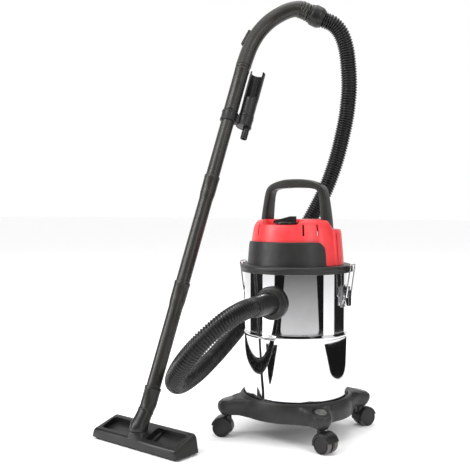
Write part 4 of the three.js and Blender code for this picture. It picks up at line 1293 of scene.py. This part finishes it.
def neck_shape():
    low = [
        (NECK_Y, COLLAR_TOP + 0.2), (NECK_Y + 1, 52), (-7, 66), (4, 82), (12, 94), (18.8, 106.2),
        (26.5, 124.6),
    ]
    line = evenly(through([NOZZLE @ Vector((0, y, z)) for y, z in low], 20), 90)
    total = length_of(line)

    def radius(i):
        along = total * i / 90
        r = 23.2 - 3.6 * smooth_step(0, 44, along)
        if 47 < along < 53:
            r += 1.2 * math.sin(math.pi * (along - 47) / 6)
        return r

    level = NOZZLE @ Vector((0, NECK_Y, COLLAR_TOP + 0.2))
    outside = tube(line, lambda i: circle_section(radius(i), 72))
    inside = tube(line, lambda i: circle_section(15, 48))
    cap = box(-80, 80, -80, 80, -40, COLLAR_TOP + 0.2).moved(shift(level.x, level.y, 0))
    socket = turned([
        (15, -52, 0), (19.2, -52, 0), (20.4, -47, 1.5), (20.6, -9, 0), (21.3, -8, 0.5),
        (21.3, -1.2, 1), (20.2, 0, 0.8), (18.3, 0, 0.4), (18.2, -41, 0), (15, -41, 0),
    ], 72).moved(WAND)
    room = rod(18.2, -41, 30, 64).moved(WAND)
    bore = rod(15, -66, 10, 48).moved(WAND)
    body = carve(outside, [room, inside, cap, bore])
    return body.add(socket)


piece("nozzle_neck_shell", neck_shape(), "wand", SOFT_BLACK, ["nozzle_neck"], sharp=42)

# ---- floor, light and reflections ----


def light_material(name, colour, strength):
    material = bpy.data.materials.new(name)
    material.use_nodes = True
    tree = material.node_tree
    tree.nodes.clear()
    out = tree.nodes.new("ShaderNodeOutputMaterial")
    glow = tree.nodes.new("ShaderNodeEmission")
    input_of(glow, "Color", (*colour, 1))
    input_of(glow, "Strength", strength)
    tree.links.new(glow.outputs["Emission"], out.inputs["Surface"])
    return material


def stage_mesh(name, points, faces, material):
    mesh = bpy.data.meshes.new(name)
    mesh.from_pydata([tuple(p) for p in points], [], faces)
    mesh.materials.append(material)
    item = in_scene(name, mesh)
    return item


def make_floor():
    material = bpy.data.materials.new("pale_floor")
    material.use_nodes = True
    shader = material.node_tree.nodes["Principled BSDF"]
    input_of(shader, "Base Color", (0.96, 0.96, 0.96, 1))
    input_of(shader, "Roughness", 0.7)
    input_of(shader, "Specular IOR Level", 0.1)
    far = 30.0
    corners = [(-far, -far, 0), (far, -far, 0), (far, far, 0), (-far, far, 0)]
    stage_mesh("floor", corners, [(0, 1, 2, 3)], material)


make_floor()

# The cards stand round the drum, seen only in reflections, and carry what a studio would put there.
CARD_REACH = 1.13
CAMERA_AZIMUTH = -64.6  # of the camera from the drum's axis


def reflected(name, points, faces, material):
    """A piece of the stage that shows only in reflections."""
    item = stage_mesh(name, points, faces, material)
    item.visible_camera = False
    item.visible_shadow = False
    item.visible_diffuse = False


def around_drum(turn, reach, z):
    """The point this many degrees round from the camera's direction, + to the picture's right."""
    azimuth = math.radians(CAMERA_AZIMUTH + turn)
    return (AXIS.x + reach * math.cos(azimuth), AXIS.y + reach * math.sin(azimuth), z)


def card(name, start, end, material, low=0.10, high=1.6):
    """A curved card from start to end, in degrees round from the camera's direction."""
    steps = max(4, round(abs(end - start) / 4))
    points = []
    for k in range(steps + 1):
        for z in (low, high):
            points.append(around_drum(start + (end - start) * k / steps, CARD_REACH, z))
    faces = [(2 * k, 2 * k + 2, 2 * k + 3, 2 * k + 1) for k in range(steps)]
    reflected(name, points, faces, material)


BLACK_CARD = light_material("black_card", (0.012, 0.012, 0.012), 1)
DARK_CARD = light_material("dark_card", (0.02, 0.02, 0.02), 1)


def graded_card_material(name, low, high, dim, bright):
    """A glow that fades from bright at one height to dim at another, in metres."""
    material = light_material(name, (1, 1, 1), 1)
    tree = material.node_tree
    place = tree.nodes.new("ShaderNodeTexCoord")
    split = tree.nodes.new("ShaderNodeSeparateXYZ")
    fade = tree.nodes.new("ShaderNodeMapRange")
    input_of(fade, "From Min", low)
    input_of(fade, "From Max", high)
    input_of(fade, "To Min", bright)
    input_of(fade, "To Max", dim)
    glow = tree.nodes["Emission"]
    tree.links.new(place.outputs["Object"], split.inputs["Vector"])
    tree.links.new(split.outputs["Z"], fade.inputs["Value"])
    tree.links.new(fade.outputs["Result"], glow.inputs["Strength"])
    return material


PANEL_CARD = graded_card_material("panel_card", 0.11, 0.34, 0.2, 0.9)

card("left_dark", -116, -74, DARK_CARD)
card("front_dark", -45, 60, BLACK_CARD)
card("right_dark", 89, 129, DARK_CARD)


def tapered_card(name, top, bottom, high, low, reach, material, corner=0.28, most=0.48):
    """A card whose top and bottom edges reach from one azimuth to another of their own.
    Its bottom corners are rounded over the last part of its height, drawing in by most of its width."""
    steps = 16
    rows = 40
    points = []
    for row in range(rows + 1):
        t = row / rows
        ease = 1 - math.sqrt(max(1 - max(0.0, (t - 1 + corner) / corner) ** 2, 0))
        start = top[0] + (bottom[0] - top[0]) * t
        end = top[1] + (bottom[1] - top[1]) * t
        pinch = (end - start) * most * ease
        for k in range(steps + 1):
            turn = start + pinch + (end - start - 2 * pinch) * k / steps
            points.append(around_drum(turn, reach, high + (low - high) * t))
    faces = []
    for row in range(rows):
        for k in range(steps):
            a = row * (steps + 1) + k
            faces.append((a, a + 1, a + steps + 2, a + steps + 1))
    reflected(name, points, faces, material)


tapered_card("panel", (-16, 39), (-32, 50), 0.5, 0.112, CARD_REACH - 0.02, PANEL_CARD, 0.06, 0.05)
tapered_card("low_right_dark", (60, 150), (80, 136), 0.147, 0.018, 0.7, BLACK_CARD)
tapered_card("low_left_dark", (-63, -36), (-56, -50), 0.147, 0.012, 0.7, BLACK_CARD)


def area_light(name, spot, target, size, power):
    data = bpy.data.lights.new(name, "AREA")
    data.shape = "RECTANGLE"
    data.size = size[0]
    data.size_y = size[1]
    data.energy = power
    lamp = in_scene(name, data)
    lamp.location = spot
    lamp.rotation_euler = (Vector(target) - Vector(spot)).to_track_quat("-Z", "Y").to_euler()
    lamp.visible_camera = False


MIDDLE = (0, 0, 0.5)
area_light("left_strip", (-2.1, -1.9, 1.7), MIDDLE, (0.6, 2.4), 70)
area_light("right_strip", (2.7, -1.2, 1.6), MIDDLE, (0.4, 2.2), 30)
area_light("key_light", (-1.0, -3.2, 3.4), MIDDLE, (1.6, 1.6), 60)
area_light("top_light", (0, 0.4, 4.0), MIDDLE, (3.0, 3.0), 60)

world = bpy.data.worlds.new("studio")
bpy.context.scene.world = world
world.use_nodes = True
world.node_tree.nodes["Background"].inputs["Color"].default_value = (1, 1, 1, 1)
world.node_tree.nodes["Background"].inputs["Strength"].default_value = 1.0
bpy.context.scene.view_settings.view_transform = "Standard"
